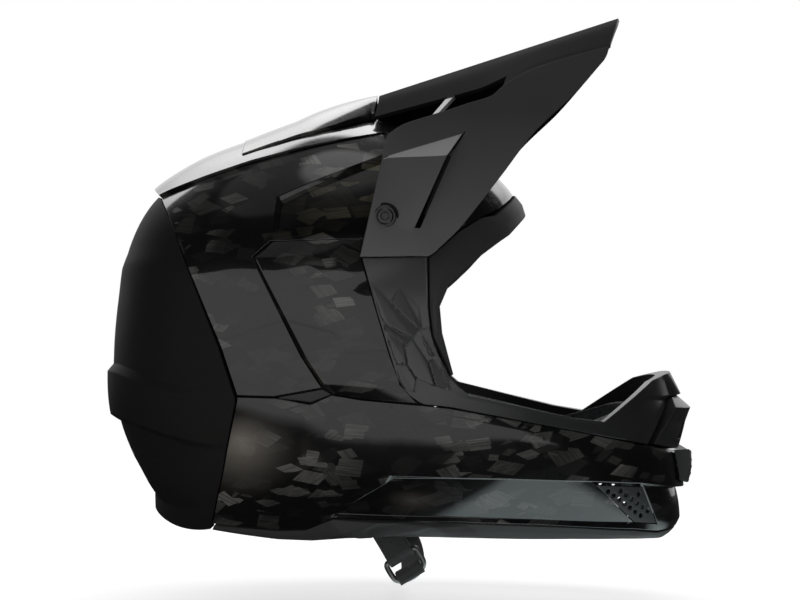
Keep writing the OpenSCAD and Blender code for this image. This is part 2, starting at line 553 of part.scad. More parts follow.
// Foam liner of the jaw, with a flat inner face, between the side panels and the cheek pads
jaw_inner_y = body_w / 2 - 32;
strap_plate_y = jaw_inner_y - strap_plate_in;
jaw_net = let (a = liner_out, b = liner_out - recess) [
    [[-36, -14, a], [-6, -14, a], [30, -14, a], [63, -14, a]],
    [[-32, -40, a], [-4, -40, a], [34, -40, a], [67, -40, a]],
    [[-46, -62, a], [-8, -62, a], [34, -62, a], [71, -62, a]],
    [[-46, -94, a], [-8, -94, a], [34, -93, a], [69, -93, a]],
    [[-47, -101, a], [-8, -101, b], [34, -100, b], [69, -100, b]],
    [[-50, -124, a], [-8, -126, b], [34, -121, b], [69, -121, b]]];
module jaw_liner(side) {
    outer = side_grid(jaw_net, 2, 3, false);
    color(foam) left_or_right(side) difference() {
        grid_solid(outer, [for (row = outer) [for (p = row) [p[0], min(jaw_inner_y, p[1] - 3),
            p[2]]]]);
        strap_axis(jaw_inner_y - 1) cylinder(d = rivet_flange_d + 2 * fit_gap,
            h = rivet_flange_t + 1 + fit_gap, $fn = 48);
    }
}
module jaw_liner_left() { jaw_liner(1); }
module jaw_liner_right() { jaw_liner(-1); }

// A pad swells in its middle and is drawn in at its edges and at its sewn channels
function swell(u, v, channels) = (1 - pow(abs(2 * u - 1), 4)) * (1 - pow(abs(2 * v - 1), 4))
    * (0.72 + 0.28 * pow(abs(sin(180 * channels * v)), 0.6));
module wrap_pad(a_first, a_last, half_y, rows, cols, thick, channels) {
    back = liner_in - foam_gap;
    function lift(i, j) = back - 2.5 - (thick - 2.5) * swell(i / rows, j / cols, channels);
    function place(i, j, l) = on_spoke(a_first + (a_last - a_first) * i / rows,
        half_y * (2 * j / cols - 1), l);
    grid_solid([for (i = [0:rows]) [for (j = [0:cols]) place(i, j, back)]],
        [for (i = [0:rows]) [for (j = [0:cols]) place(i, j, lift(i, j))]]);
}
module crown_pad() { color(cloth) wrap_pad(62, 150, 0.195 * body_w, 14, 12, pad_t, 3); }
module brow_pad() { color(cloth) wrap_pad(34, 54, 0.322 * body_w, 4, 20, pad_t, 6); }
module neck_roll() { color(cloth) wrap_pad(190, 224, 0.28 * body_w, 6, 18, neck_roll_t, 4); }

// Cheek pad: between the jaw liner and the face, with a channel in its back for the strap
cheek_net = [
    [[-30, -20, 0], [-4, -17, 0], [30, -17, 0], [57, -20, 0]],
    [[-34, -58, 0], [-6, -58, 0], [34, -58, 0], [66, -58, 0]],
    [[-33, -92, 0], [-6, -92, 0], [34, -92, 0], [65, -92, 0]],
    [[-26, -113, 0], [-4, -119, 0], [34, -119, 0], [63, -116, 0]]];
module cheek_pad(side) {
    parts = 4;
    rows = steps(len(cheek_net) - 1, parts, 0, 0);
    cols = steps(len(cheek_net[0]) - 1, parts, 0, 0);
    function back_y(p) = jaw_inner_y - fit_gap - (jaw_inner_y - strap_plate_y + 4)
        * ease((26 - abs(p[0] - strap_pivot_x - 6)) / 5) * ease((strap_pivot_z + 21 - p[1]) / 5);
    function face_y(p, u, v) = let (edge_y = jaw_inner_y - 17)
        edge_y - (edge_y - face_half_w) * swell(u, v, 2);
    color(cloth) left_or_right(side) grid_solid(
        [for (u = rows) [for (v = cols) let (p = between(cheek_net, u, v))
            [p[0], back_y(p), p[1]]]],
        [for (u = rows) [for (v = cols) let (p = between(cheek_net, u, v))
            [p[0], face_y(p, u / rows[len(rows) - 1], v / cols[len(cols) - 1]), p[1]]]]);
}
module cheek_pad_left() { cheek_pad(1); }
module cheek_pad_right() { cheek_pad(-1); }

// Visor
function turned(x, z, angle) = let (dx = x - pivot_x, dz = z - pivot_z)
    [pivot_x + dx * cos(angle) + dz * sin(angle), pivot_z - dx * sin(angle) + dz * cos(angle)];

// Outer face of the visor arm: over the widest shell that it passes as it tilts
function swept_y(x, z) = max([for (k = [0:3]) let (p = turned(x, z, visor_tilt * k / 3))
    half_width(p[0], p[1])]) + arm_space + visor_wall;
visor_rise = 0.325;
visor_rear = [38, 124.6];
function crest(t) = [visor_rear[0] + visor_l * t, 0, visor_rear[1] + visor_l * visor_rise * t];
visor_stations = [0, 0.07, 0.19, 0.25, 0.33, 0.45, 0.58, 0.7, 0.85, 1];

// Columns of the visor, each from the blade's edge down to the arm's lower edge
visor_columns = [
    [[34.7, 46, 108], [42.6, 99, 93.8], [39.8, 104.6, 80], [39.6, 105, 79], [31.6, 115, 40.4],
        [28, 119.4, 24.4]],
    [[46, 48, 111], [50.9, 96, 99.7], [43.4, 103.4, 81.4], [43.2, 105, 80.2], [41, 112.3, 40.6],
        [40, 116.1, 24.6]],
    [[77.5, 53, 119], [68.3, 90.7, 105.8], [85.8, 88.2, 95.2], [76.8, 105, 81.8],
        [58.4, 109.5, 40.6], [58, 111.1, 25]],
    [[82, 54, 120], [72.2, 89.3, 107.1], [87.4, 87.5, 96.2], [81, 91.6, 85.6],
        [61.4, 106.8, 40.6], [62, 110, 25]],
    [[90, 56, 122.2], [89, 83.4, 113.1], [91, 86.2, 98], [86, 89.5, 89], [64, 106.1, 40.6],
        [66, 108.9, 25]],
    [[98, 58, 124.4], [102.4, 78.6, 117.8], [104, 80.7, 107], [101, 84.3, 94], [88, 96.6, 54],
        [80, 102.6, 36.5]],
    [[112, 64, 130.4], [109.2, 75.6, 123.6], [113, 76.5, 115], [115, 78.1, 105], [110, 84.9, 80],
        [106, 88.5, 68.5]],
    [[125, 63.5, 136], [125.4, 68, 133.6], [126.2, 70, 128], [127, 71.8, 119], [127.3, 75, 104],
        [127.4, 76.6, 96.4]],
    [[150, 58, 144.2], [150.4, 60, 142.6], [151, 61.1, 138], [151, 62.4, 132],
        [151.2, 64.1, 124], [151.2, 65.1, 119.4]],
    [[173.6, 51, 150.5], [173.2, 52.4, 149.4], [172.4, 53.4, 146.5], [171.6, 54.2, 144],
        [170.6, 54.9, 142], [169.6, 55.5, 140.4]]];
// The columns were set out on a body of 236 mm, and keep to its width
function across_body(p) = [p[0], p[1] * body_w / 236, p[2]];
function off_shell(p) = [p[0], max(p[1], swept_y(p[0], p[2])), p[2]];
function visor_row(k) = let (c = crest(visor_stations[k]), e = across_body(visor_columns[k][0]))
    concat([c, [(c[0] + e[0]) / 2 + 1, e[1] * 0.55, (c[2] + e[2]) / 2 + 3.2], e],
    [for (i = [1:5]) off_shell(across_body(visor_columns[k][i]))]);
function lean_of(grid, i, j) = let (n = len(grid) - 1, m = len(grid[0]) - 1,
    du = grid[min(i + 1, n)][j] - grid[max(i - 1, 0)][j],
    dv = grid[i][min(j + 1, m)] - grid[i][max(j - 1, 0)]) unit(cross(du, dv));
function walled(grid, t) = [for (i = [0:len(grid) - 1]) [for (j = [0:len(grid[0]) - 1])
    grid[i][j] + t * lean_of(grid, i, j)]];
module visor_skin() {
    side_rows = [for (k = [0:len(visor_columns) - 1]) visor_row(k)];
    grid = [for (row = side_rows) both_sides(row)];
    inside = walled(grid, visor_wall);
    mid = len(side_rows[0]) - 1;
    open_place = function (i, j) let (c = j >= mid ? j - mid : mid - 1 - j)
        (c == 2 && i < 6 && i != 2) || ((c == 4 || c == 5) && i == 2);
    grid_solid(grid, inside, open_place);
}
pivot_shell_y = half_width(pivot_x, pivot_z);
// Flat seat of the washer, level with the middle of the raised pad round the pivot
pivot_seat_y = pivot_shell_y + arm_space + visor_wall + 1;
boss_d = washer_d + 3;
module pivot_axis(y) { translate([pivot_x, y, pivot_z]) rotate([-90, 0, 0]) children(); }
module on_both_sides() {
    children();
    mirror([0, 1, 0]) children();
}
module visor() {
    color(matte) difference() {
        union() {
            visor_skin();
            on_both_sides() pivot_axis(pivot_seat_y - visor_wall - 1) cylinder(d = boss_d,
                h = visor_wall + 1, $fn = 48);
        }
        on_both_sides() {
            pivot_axis(60) cylinder(d = screw_d + 2 * fit_gap, h = 80, $fn = 48);
            pivot_axis(pivot_seat_y) cylinder(d = boss_d + 0.01, h = 20, $fn = 48);
        }
    }
}
module visor_washers() {
    color(matte) on_both_sides() pivot_axis(pivot_seat_y + fit_gap) difference() {
        cylinder(d = washer_d, h = washer_t, $fn = 48);
        translate([0, 0, -1]) cylinder(d = screw_d + 2 * fit_gap, h = washer_t + 2, $fn = 48);
    }
}
module visor_screws() {
    head_y = pivot_seat_y + washer_t + 2 * fit_gap;
    color(matte) on_both_sides() difference() {
        union() {
            pivot_axis(head_y) cylinder(d = screw_head_d, h = screw_head_h, $fn = 48);
            pivot_axis(pivot_shell_y - insert_l + 2.5) cylinder(d = screw_d,
                h = head_y - pivot_shell_y + insert_l - 2.4, $fn = 48);
        }
        pivot_axis(head_y + 0.8) cylinder(d = hex_size / cos(30), h = 3, $fn = 6);
    }
}
module visor_inserts() {
    color(steel) on_both_sides() difference() {
        pivot_axis(pivot_shell_y - insert_l) cylinder(d = insert_d, h = insert_l - 1, $fn = 48);
        pivot_axis(pivot_shell_y - insert_l + 2) cylinder(d = screw_d + 0.1, h = 40, $fn = 48);
    }
}

// Chin strap: a steel plate on a rivet at each side, webbing, and two D-rings.
// It is drawn hanging straight down from the rivet, then leaned forward as one piece.
module strap_axis(y) {
    translate([strap_pivot_x, y, strap_pivot_z]) rotate([-90, 0, 0]) children();
}
module leaned() {
    translate([strap_pivot_x, 0, strap_pivot_z]) rotate([0, -strap_lean, 0]) children();
}
module strap_rivets() {
    color(steel) on_both_sides() {
        strap_axis(strap_plate_y - fit_gap - 2) cylinder(d = rivet_d + 5, h = 2, $fn = 48);
        strap_axis(strap_plate_y - fit_gap - 1) cylinder(d = rivet_d,
            h = jaw_inner_y - strap_plate_y + 2, $fn = 48);
        strap_axis(jaw_inner_y) cylinder(d = rivet_flange_d, h = rivet_flange_t, $fn = 48);
    }
}
plate_l = 24.5;
slot_l = 4;
slot_top = -18;
module strap_plates() {
    eye_r = rivet_d / 2 + 5;
    wide_half = strap_w / 2 + 3;
    color(steel) leaned() on_both_sides() difference() {
        translate([0, strap_plate_y + strap_plate_t, 0]) rotate([90, 0, 0])
            linear_extrude(strap_plate_t) polygon(concat(
            [for (k = [0:12]) eye_r * [cos(k * 15), sin(k * 15)]],
            [[-wide_half, slot_top + 3], [-wide_half, 1 - plate_l], [1 - wide_half, -plate_l],
            [wide_half - 1, -plate_l], [wide_half, 1 - plate_l], [wide_half, slot_top + 3]]));
        translate([0, strap_plate_y - 1, 0]) rotate([-90, 0, 0]) cylinder(
            d = rivet_d + 2 * fit_gap, h = 4, $fn = 48);
        translate([-strap_w / 2 - 0.5, strap_plate_y - 1, slot_top - slot_l])
            cube([strap_w + 1, 4, slot_l]);
    }
}

// Solid along a path of sections, each a ring of points; closed joins its two ends
module swept(rings, closed = false) {
    n = len(rings);
    m = len(rings[0]);
    points = [for (r = rings) each r];
    sides = [for (i = [0:n - (closed ? 1 : 2)]) for (k = [0:m - 1]) let (
        a = m * i + k, b = m * i + (k + 1) % m, c = m * ((i + 1) % n) + (k + 1) % m,
        d = m * ((i + 1) % n) + k) each [[a, b, c], [a, c, d]]];
    caps = closed ? [] : concat([for (k = [1:m - 2]) [0, k + 1, k]],
        [for (k = [1:m - 2]) [m * (n - 1), m * (n - 1) + k, m * (n - 1) + k + 1]]);
    faces = concat(sides, caps);
    inside_out = total([for (f = faces) tri_volume(points, f)]) > 0;
    polyhedron(points, inside_out ? [for (f = faces) [f[2], f[1], f[0]]] : faces);
}

// Webbing whose path is a list of [y, z] in the strap's own upright plane
module webbing(path) {
    n = len(path) - 1;
    swept([for (i = [0:n]) let (run = unit(path[min(i + 1, n)] - path[max(i - 1, 0)]),
        up = [-run[1], run[0]] * strap_t / 2)
        [for (c = [[-1, -1], [1, -1], [1, 1], [-1, 1]])
        [c[0] * strap_w / 2, path[i][0] + c[1] * up[0], path[i][1] + c[1] * up[1]]]]);
}
strap_y = strap_plate_y + strap_plate_t / 2;
loop_out = strap_plate_t / 2 + fit_gap + strap_t / 2;
layer = strap_t / 2 + 0.15;
slot_mid = slot_top - 1.6;
// Webbing threaded through the plate's slot, with its short end on the inner side
plate_loop = [[strap_y - layer, -38], [strap_y - layer, -29], [strap_y - loop_out, -24.6],
    [strap_y - loop_out, slot_mid - 1.9], [strap_y - loop_out * 0.6, slot_mid - 0.5],
    [strap_y, slot_mid], [strap_y + loop_out * 0.6, slot_mid - 0.5],
    [strap_y + loop_out, slot_mid - 1.9], [strap_y + loop_out, -24.6], [strap_y + layer, -29]];
ring_bar_z = -43;
ring_step = ring_wire_d / 2 + 0.2;
ring_loop_out = ring_step + ring_wire_d / 2 + fit_gap + strap_t / 2;
module ring_strap() {
    under = ring_bar_z - ring_wire_d / 2 - fit_gap - strap_t / 2;
    color(cloth) leaned() mirror([0, 1, 0]) {
        webbing(concat(plate_loop, [[strap_y + layer, -36], [strap_y + ring_loop_out, -42.4],
            [strap_y + ring_loop_out, ring_bar_z - 0.6],
            [strap_y + ring_loop_out * 0.7, under + 0.6], [strap_y, under],
            [strap_y - ring_loop_out * 0.7, under + 0.6],
            [strap_y - ring_loop_out, ring_bar_z - 0.6], [strap_y - ring_loop_out, -42.4],
            [strap_y - layer, -38.6]]));
    }
}
module long_strap() {
    through_z = ring_bar_z - 7.4;
    // Half of the loop under the chin: shares of the strap's distance, and the height
    run = [[0.954, -45.5], [0.867, -52], [0.718, -55.6], [0.372, -57.6]];
    color(cloth) leaned() webbing(concat(plate_loop, [[strap_y + layer, -36]],
        [for (p = run) [p[0] * strap_y, p[1]]], [[0, -58]],
        [for (k = [3:-1:2]) [-run[k][0] * strap_y, run[k][1]]],
        [[-0.867 * strap_y, through_z - 1.6], [-strap_y, through_z],
        [-strap_y - 5, through_z - 1.4], [-strap_y - 7, through_z - 4],
        [-strap_y - 7, through_z - 7]]));
}
module d_ring(y) {
    half = strap_w / 2 + 0.6 + ring_wire_d / 2;
    path = [[-half + 2, 0], [half - 2, 0], [half - 0.6, -0.6], [half, -2], [half, -9.4],
        [half - 1.6, -12], [half - 5, -13.6], [0, -14.4], [5 - half, -13.6],
        [1.6 - half, -12], [-half, -9.4], [-half, -2], [0.6 - half, -0.6]];
    n = len(path);
    sides = 8;
    swept([for (i = [0:n - 1]) let (run = unit(path[(i + 1) % n] - path[(i + n - 1) % n]),
        out = [run[1], -run[0]] * ring_wire_d / 2)
        [for (k = [0:sides - 1]) let (c = cos(k * 360 / sides), s = sin(k * 360 / sides))
        [path[i][0] + out[0] * c, y + ring_wire_d / 2 * s, ring_bar_z + path[i][1] + out[1] * c]]],
        closed = true);
}
module d_rings() {
    color(steel) leaned() {
        d_ring(-strap_y - ring_step);
        d_ring(-strap_y + ring_step);
    }
}

roof_shell();
roof_spine();
side_shell_left();
side_shell_right();
side_panel_left();
side_panel_right();
side_vent_left();
side_vent_right();
rear_shell();
chin_bar_shell();
face_frame();
nose_vent();
front_grille();
chin_mesh_left();
chin_mesh_right();
eyeport_trim();
lower_rim();
head_liner();
chin_liner();
jaw_liner_left();
jaw_liner_right();
crown_pad();
brow_pad();
neck_roll();
cheek_pad_left();
cheek_pad_right();
visor();
visor_washers();
visor_screws();
visor_inserts();
strap_rivets();
strap_plates();
ring_strap();
long_strap();
d_rings();
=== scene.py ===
# Dresses the full-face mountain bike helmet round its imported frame.
# Lengths here are millimetres until a mesh is made. +X is the front, +Y the wearer's left, +Z up.
import math

import bmesh
import bpy
import numpy as np
from mathutils import Matrix, Vector


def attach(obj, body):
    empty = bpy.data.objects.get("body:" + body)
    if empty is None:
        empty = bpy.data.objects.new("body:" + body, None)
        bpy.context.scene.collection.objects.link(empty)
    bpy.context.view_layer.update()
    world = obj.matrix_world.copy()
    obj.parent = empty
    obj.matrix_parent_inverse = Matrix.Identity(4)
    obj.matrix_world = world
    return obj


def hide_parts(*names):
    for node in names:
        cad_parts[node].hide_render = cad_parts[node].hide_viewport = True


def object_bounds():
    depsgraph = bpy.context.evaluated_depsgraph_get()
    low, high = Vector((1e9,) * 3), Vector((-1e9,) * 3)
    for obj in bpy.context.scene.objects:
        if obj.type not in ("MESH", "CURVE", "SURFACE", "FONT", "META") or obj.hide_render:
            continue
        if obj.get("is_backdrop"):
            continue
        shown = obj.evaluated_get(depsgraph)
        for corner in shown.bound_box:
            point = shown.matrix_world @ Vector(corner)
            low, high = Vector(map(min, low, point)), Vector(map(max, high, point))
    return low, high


MM = 0.001
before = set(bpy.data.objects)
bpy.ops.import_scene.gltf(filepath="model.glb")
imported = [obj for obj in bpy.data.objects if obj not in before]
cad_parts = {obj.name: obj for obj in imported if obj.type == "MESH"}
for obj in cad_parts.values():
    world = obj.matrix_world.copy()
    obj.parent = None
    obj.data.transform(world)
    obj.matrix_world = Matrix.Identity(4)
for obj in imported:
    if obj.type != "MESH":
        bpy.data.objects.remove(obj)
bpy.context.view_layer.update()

# Camera of the photograph: square on to the right side, far enough for little perspective
VIEW_CENTRE = (0.050, 0.0, 0.0)
VIEW_DISTANCE = 1.4
VIEW_WIDTH = 0.488
SENSOR = 36.0

# The smooth body that every outer panel lies on
BODY_WIDTH = 236.0
CHIN_TAPER = 14.0
TAPER_FROM = 20.0
TAPER_LENGTH = 190.0
FULLNESS = 2.2
PROFILE_STEP = 15.0
PROFILE = np.array([190, 140, 134, 127, 120, 114, 109.5, 105, 105, 109, 115.5, 118, 119, 126,
                    138.5, 149, 168, 187, 203, 222, 239, 251, 250, 219.0])
SHELL_WALL = 4.0
SEAM_GAP = 0.5
FIT_GAP = 0.3
FOAM_GAP = 1.05
POCKET_DEPTH = 3.0
PANEL_RISE = 2.4
BAND_RISE = 1.4
BUMPER_RISE = 5.0
RIDGE_RISE = 3.5
LINER_OUT = -SHELL_WALL - FOAM_GAP
LINER_WALL = 22.0
LINER_IN = LINER_OUT - LINER_WALL
RECESS = 1.8
JAW_INNER_Y = 86.0

# How the meshes are finished: degrees, millimetres, and metres for the weld. A turned piece
# stops short of its axis by its tip
CREASE = 32.0
EDGE_ROUND = 0.3
WELD = 0.00002
TURNED_TIP = 0.02


def ease(t):
    """Smooth step from 0 to 1."""
    t = np.clip(t, 0.0, 1.0)
    return t * t * (3 - 2 * t)


def profile_radius(angle):
    """Radius of the mid-plane's outline at an angle of the side view."""
    t = np.mod(angle, 360.0) / PROFILE_STEP
    i = np.floor(t).astype(int)
    f = t - i
    a, b, c, d = (PROFILE[np.mod(i + k, len(PROFILE))] for k in (-1, 0, 1, 2))
    return 0.5 * (2 * b + (c - a) * f + (2 * a - 5 * b + 4 * c - d) * f ** 2
                  + (3 * b - a - 3 * c + d) * f ** 3)


def angle_of(x, z):
    """Angle of a side-view place, in degrees from the front upwards."""
    return np.degrees(np.arctan2(z, x))


def widest(x):
    """Half of the body's width, which tapers towards the chin."""
    return BODY_WIDTH / 2 - CHIN_TAPER * ease((x - TAPER_FROM) / TAPER_LENGTH)


def reach(x, z):
    """How far out a side-view place lies: 0 in the middle, 1 on the outline."""
    return np.hypot(x, z) / profile_radius(angle_of(x, z))


def half_width(x, z):
    """Distance of the body's surface from the mid-plane."""
    return widest(x) * np.maximum(0, 1 - reach(x, z) ** FULLNESS) ** (1 / FULLNESS)


def fill(x, y, z):
    """1 on the body's surface, less inside and more outside."""
    return reach(x, z) ** FULLNESS + (np.abs(y) / widest(x)) ** FULLNESS


def outward(x, y, z):
    """Directions square to the body's surface."""
    e = 0.5
    n = np.stack([fill(x + e, y, z) - fill(x - e, y, z),
                  2 * e * FULLNESS * np.abs(y) ** (FULLNESS - 1) / widest(x) ** FULLNESS
                  * np.sign(y),
                  fill(x, y, z + e) - fill(x, y, z - e)], -1)
    return n / np.linalg.norm(n, axis=-1, keepdims=True)


def on_side(x, z, lift):
    """Points over side-view places, lifted square to the body."""
    x, z, lift = np.broadcast_arrays(np.asarray(x, float), np.asarray(z, float),
                                     np.asarray(lift, float))
    y = half_width(x, z)
    return np.stack([x, y, z], -1) + lift[..., None] * outward(x, y, z)


def on_spoke(angle, y, lift):
    """Points at distance y from the mid-plane on the spokes at an angle of the side view."""
    angle, y, lift = np.broadcast_arrays(np.asarray(angle, float), np.asarray(y, float),
                                         np.asarray(lift, float))
    c, s = np.cos(np.radians(angle)), np.sin(np.radians(angle))
    r = profile_radius(angle)
    x = r * c
    # The width changes along x, which three rounds settle
    for _ in range(3):
        share = np.maximum(0, 1 - (np.abs(y) / widest(x)) ** FULLNESS) ** (1 / FULLNESS)
        x = r * share * c
    z = r * share * s
    return np.stack([x, y, z], -1) + lift[..., None] * outward(x, y, z)


def at(values, u):
    """Value between the entries of a list, or of a list of places."""
    values, u = np.asarray(values, float), np.asarray(u, float)
    i = np.minimum(u.astype(int), len(values) - 2)
    t = u - i
    if values.ndim > 1:
        t = t[..., None]
    return (1 - t) * values[i] + t * values[i + 1]


# Meshes

def placed(name, data):
    """New object in the scene for a mesh, a lamp or a camera."""
    item = bpy.data.objects.new(name, data)
    bpy.context.scene.collection.objects.link(item)
    return item


def drawn(work, name):
    """Plain mesh of a bmesh, which is then freed."""
    mesh = bpy.data.meshes.new(name)
    work.to_mesh(mesh)
    work.free()
    return mesh


def pulled_out(work, faces):
    """Extrudes flat faces, and gives the new points that are to be moved."""
    made = bmesh.ops.extrude_face_region(work, geom=faces)["geom"]
    return [part for part in made if isinstance(part, bmesh.types.BMVert)]


def face_outward(work):
    """Turns the faces of a closed bmesh outwards."""
    if work.calc_volume(signed=True) < 0:
        bmesh.ops.reverse_faces(work, faces=work.faces)


def belt(rings, around, closed=True):
    """Faces between rings of so many points each, and from the last to the first if closed."""
    return [(k * around + i, k * around + j, m * around + j, m * around + i)
            for k, m in ((k, (k + 1) % rings) for k in range(rings if closed else rings - 1))
            for i, j in ((i, (i + 1) % around) for i in range(around))]


def new_piece(name, points, faces, finish, creases=CREASE):
    """Mesh object from points in millimetres, with outward faces and sharp edges at creases."""
    mesh = bpy.data.meshes.new(name)
    mesh.from_pydata([tuple(p * MM) for p in np.asarray(points, float)], [], faces)
    work = bmesh.new()
    work.from_mesh(mesh)
    bmesh.ops.remove_doubles(work, verts=work.verts, dist=WELD)
    loose = [v for v in work.verts if not v.link_faces]
    bmesh.ops.delete(work, geom=loose, context="VERTS")
    face_outward(work)
    mark_creases(work, creases)
    work.to_mesh(mesh)
    work.free()
    mesh.materials.append(finish)
    return placed(name, mesh)


def mark_creases(work, creases):
    """Smooth faces, with sharp edges where two faces meet at more than the creases' angle."""
    limit = math.radians(creases)
    for face in work.faces:
        face.smooth = True
    for edge in work.edges:
        edge.smooth = not (edge.is_manifold and edge.calc_face_angle(0.0) > limit)


def grid_faces(outer, inner, keep):
    """Points and faces of the closed solid between two grids, open where keep is False."""
    rows, cols = outer.shape[:2]
    half = rows * cols
    points = np.concatenate([outer.reshape(-1, 3), inner.reshape(-1, 3)])
    held = np.zeros((rows + 1, cols + 1), bool)
    held[1:rows, 1:cols] = keep
    faces = []
    for i, j in zip(*np.nonzero(keep)):
        a = int(i) * cols + int(j)
        b, c, d = a + 1, a + cols + 1, a + cols
        faces.append((a, b, c, d))
        faces.append((a + half, d + half, c + half, b + half))
        for there, p, q in ((held[i, j + 1], a, b), (held[i + 1, j + 2], b, c),
                            (held[i + 2, j + 1], c, d), (held[i + 1, j], d, a)):
            if not there:
                faces.append((q, p, p + half, q + half))
    return points, faces


def grid_piece(name, outer, inner, finish, keep=None, creases=CREASE, edge=EDGE_ROUND):
    """Piece between two grids of points, with its edges rounded."""
    if keep is None:
        keep = np.ones((outer.shape[0] - 1, outer.shape[1] - 1), bool)
    points, faces = grid_faces(outer, inner, keep)
    piece = new_piece(name, points, faces, finish, creases)
    if edge:
        round_edges(piece, edge, creases)
    return piece


def round_edges(piece, width, creases=CREASE):
    """Rounds the piece's sharp edges."""
    bevel = piece.modifiers.new("rounded edges", "BEVEL")
    bevel.width = width * MM
    bevel.segments = 2
    bevel.limit_method = "ANGLE"
    bevel.angle_limit = math.radians(creases)
    bevel.use_clamp_overlap = False
    bevel.miter_outer = "MITER_ARC"


def apply_modifiers(piece):
    """The piece as the plain mesh that its modifiers make."""
    graph = bpy.context.evaluated_depsgraph_get()
    graph.update()
    mesh = bpy.data.meshes.new_from_object(piece.evaluated_get(graph))
    piece.modifiers.clear()
    old = piece.data
    piece.data = mesh
    bpy.data.meshes.remove(old)
    return piece


def mirrored(piece, name):
    """The same piece on the other side of the mid-plane."""
    twin = piece.copy()
    twin.data = piece.data.copy()
    twin.name = name
    twin.data.transform(Matrix.Diagonal((1, -1, 1, 1)))
    twin.data.flip_normals()
    bpy.context.scene.collection.objects.link(twin)
    return twin


def refinish(piece, finish, chosen):
    """Another finish on the faces that are chosen by their middle in millimetres and normal."""
    piece.data.materials.append(finish)
    for face in piece.data.polygons:
        if chosen(face.center / MM, face.normal):
            face.material_index = len(piece.data.materials) - 1
    return piece


def joined(pieces, name):
    """One piece from several, in the finish of the first, with their modifiers applied."""
    graph = bpy.context.evaluated_depsgraph_get()
    graph.update()
    work = bmesh.new()
    for piece in pieces:
        work.from_mesh(bpy.data.meshes.new_from_object(piece.evaluated_get(graph)))
    mesh = drawn(work, name)
    for material in pieces[0].data.materials:
        mesh.materials.append(material)
    for piece in pieces:
        bpy.data.objects.remove(piece)
    return placed(name, mesh)


def with_twin(piece, name):
    """The piece and its mirrored twin as one."""
    return joined([piece, mirrored(piece, name + "_twin")], name)


# Node trees

class Nodes:
    """Short way to write a node tree."""

    def __init__(self, tree):
        self.tree = tree

    def add(self, kind, inputs=None, **settings):
        """New node with its settings; an input is a value or another node's socket."""
        made = self.tree.nodes.new(kind)
        for key, value in settings.items():
            setattr(made, key, value)
        for key, value in (inputs or {}).items():
            socket = made.inputs[key]
            if isinstance(value, bpy.types.NodeSocket):
                self.join(value, socket)
            else:
                socket.default_value = value
        return made

    def join(self, value, socket):
        """Link from an output to an input."""
        self.tree.links.new(value, socket)

    def math(self, operation, a, b=0.0):
        return self.add("ShaderNodeMath", {0: a, 1: b}, operation=operation).outputs[0]

    def object_place(self):
        return self.add("ShaderNodeTexCoord").outputs["Object"]

    def split(self, vector):
        return self.add("ShaderNodeSeparateXYZ", {0: vector}).outputs

    def vector_math(self, operation, a, b=(0, 0, 0)):
        return self.add("ShaderNodeVectorMath", {0: a, 1: b}, operation=operation).outputs

    def noise(self, place, scale, detail=2.0):
        return self.add("ShaderNodeTexNoise", {"Vector": place, "Scale": scale,
                                               "Detail": detail}).outputs[0]

    def ramp(self, value, low, high, to_low=0.0, to_high=1.0):
        """A value spread from one range to another, and held at its ends."""
        return self.add("ShaderNodeMapRange", {"Value": value, "From Min": low, "From Max": high,
                                               "To Min": to_low, "To Max": to_high}).outputs[0]

    def mix(self, share, a, b):
        """Colour between two others."""
        made = self.add("ShaderNodeMix", {0: share, 6: a, 7: b}, data_type="RGBA")
        return made.outputs[2]


def repeat_tree(name, inputs, build):
    """Tree that sets one small shape at every point it makes, as plain mesh in one material."""
    tree = bpy.data.node_groups.new(name, "GeometryNodeTree")
    tree.interface.new_socket("Geometry", in_out="INPUT", socket_type="NodeSocketGeometry")
    for label, value in inputs:
        tree.interface.new_socket(label, in_out="INPUT",
                                  socket_type="NodeSocketFloat").default_value = value
    tree.interface.new_socket("Material", in_out="INPUT", socket_type="NodeSocketMaterial")
    tree.interface.new_socket("Geometry", in_out="OUTPUT", socket_type="NodeSocketGeometry")
    nodes = Nodes(tree)
    given = nodes.add("NodeGroupInput").outputs
    points, shape, turn = build(nodes, given)
    set_down = nodes.add("GeometryNodeInstanceOnPoints", {
        "Points": points, "Instance": shape, "Rotation": turn})
    real = nodes.add("GeometryNodeRealizeInstances", {"Geometry": set_down.outputs[0]})
    coated = nodes.add("GeometryNodeSetMaterial", {
        "Geometry": real.outputs[0], "Material": given["Material"]})
    nodes.join(coated.outputs[0], nodes.add("NodeGroupOutput").inputs[0])
    return tree


def stitch_parts(nodes, given):
    """Stitches end to end along each edge path, every one a small tapered grain of thread."""
    curve = nodes.add("GeometryNodeMeshToCurve", {"Mesh": given["Geometry"]}).outputs[0]
    spaced = nodes.add("GeometryNodeResampleCurve", {
        "Curve": curve, "Length": given["Pitch"]}, mode="LENGTH").outputs[0]
    size = nodes.add("ShaderNodeCombineXYZ", {
        0: nodes.math("MULTIPLY", given["Stitch Length"], 0.5), 1: given["Thread Radius"],
        2: given["Thread Radius"]}).outputs[0]
    grain = nodes.add("GeometryNodeMeshIcoSphere", {"Radius": 1.0, "Subdivisions": 1})
    stitch = nodes.add("GeometryNodeTransform", {"Geometry": grain.outputs[0],
                                                 "Scale": size}).outputs[0]
    turn = nodes.add("FunctionNodeAlignRotationToVector", {
        "Vector": nodes.add("GeometryNodeInputTangent").outputs[0]}, axis="X").outputs[0]
    return spaced, stitch, turn


def hole_parts(nodes, given):
    """Upright six-sided plugs, one on each point, which are cut out of a plate."""
    plug = nodes.add("GeometryNodeMeshCylinder", {
        "Vertices": 6, "Radius": nodes.math("MULTIPLY", given["Hole Width"], 0.5),
        "Depth": given["Depth"]}).outputs[0]
    level = nodes.add("FunctionNodeEulerToRotation").outputs[0]
    return given["Geometry"], plug, level


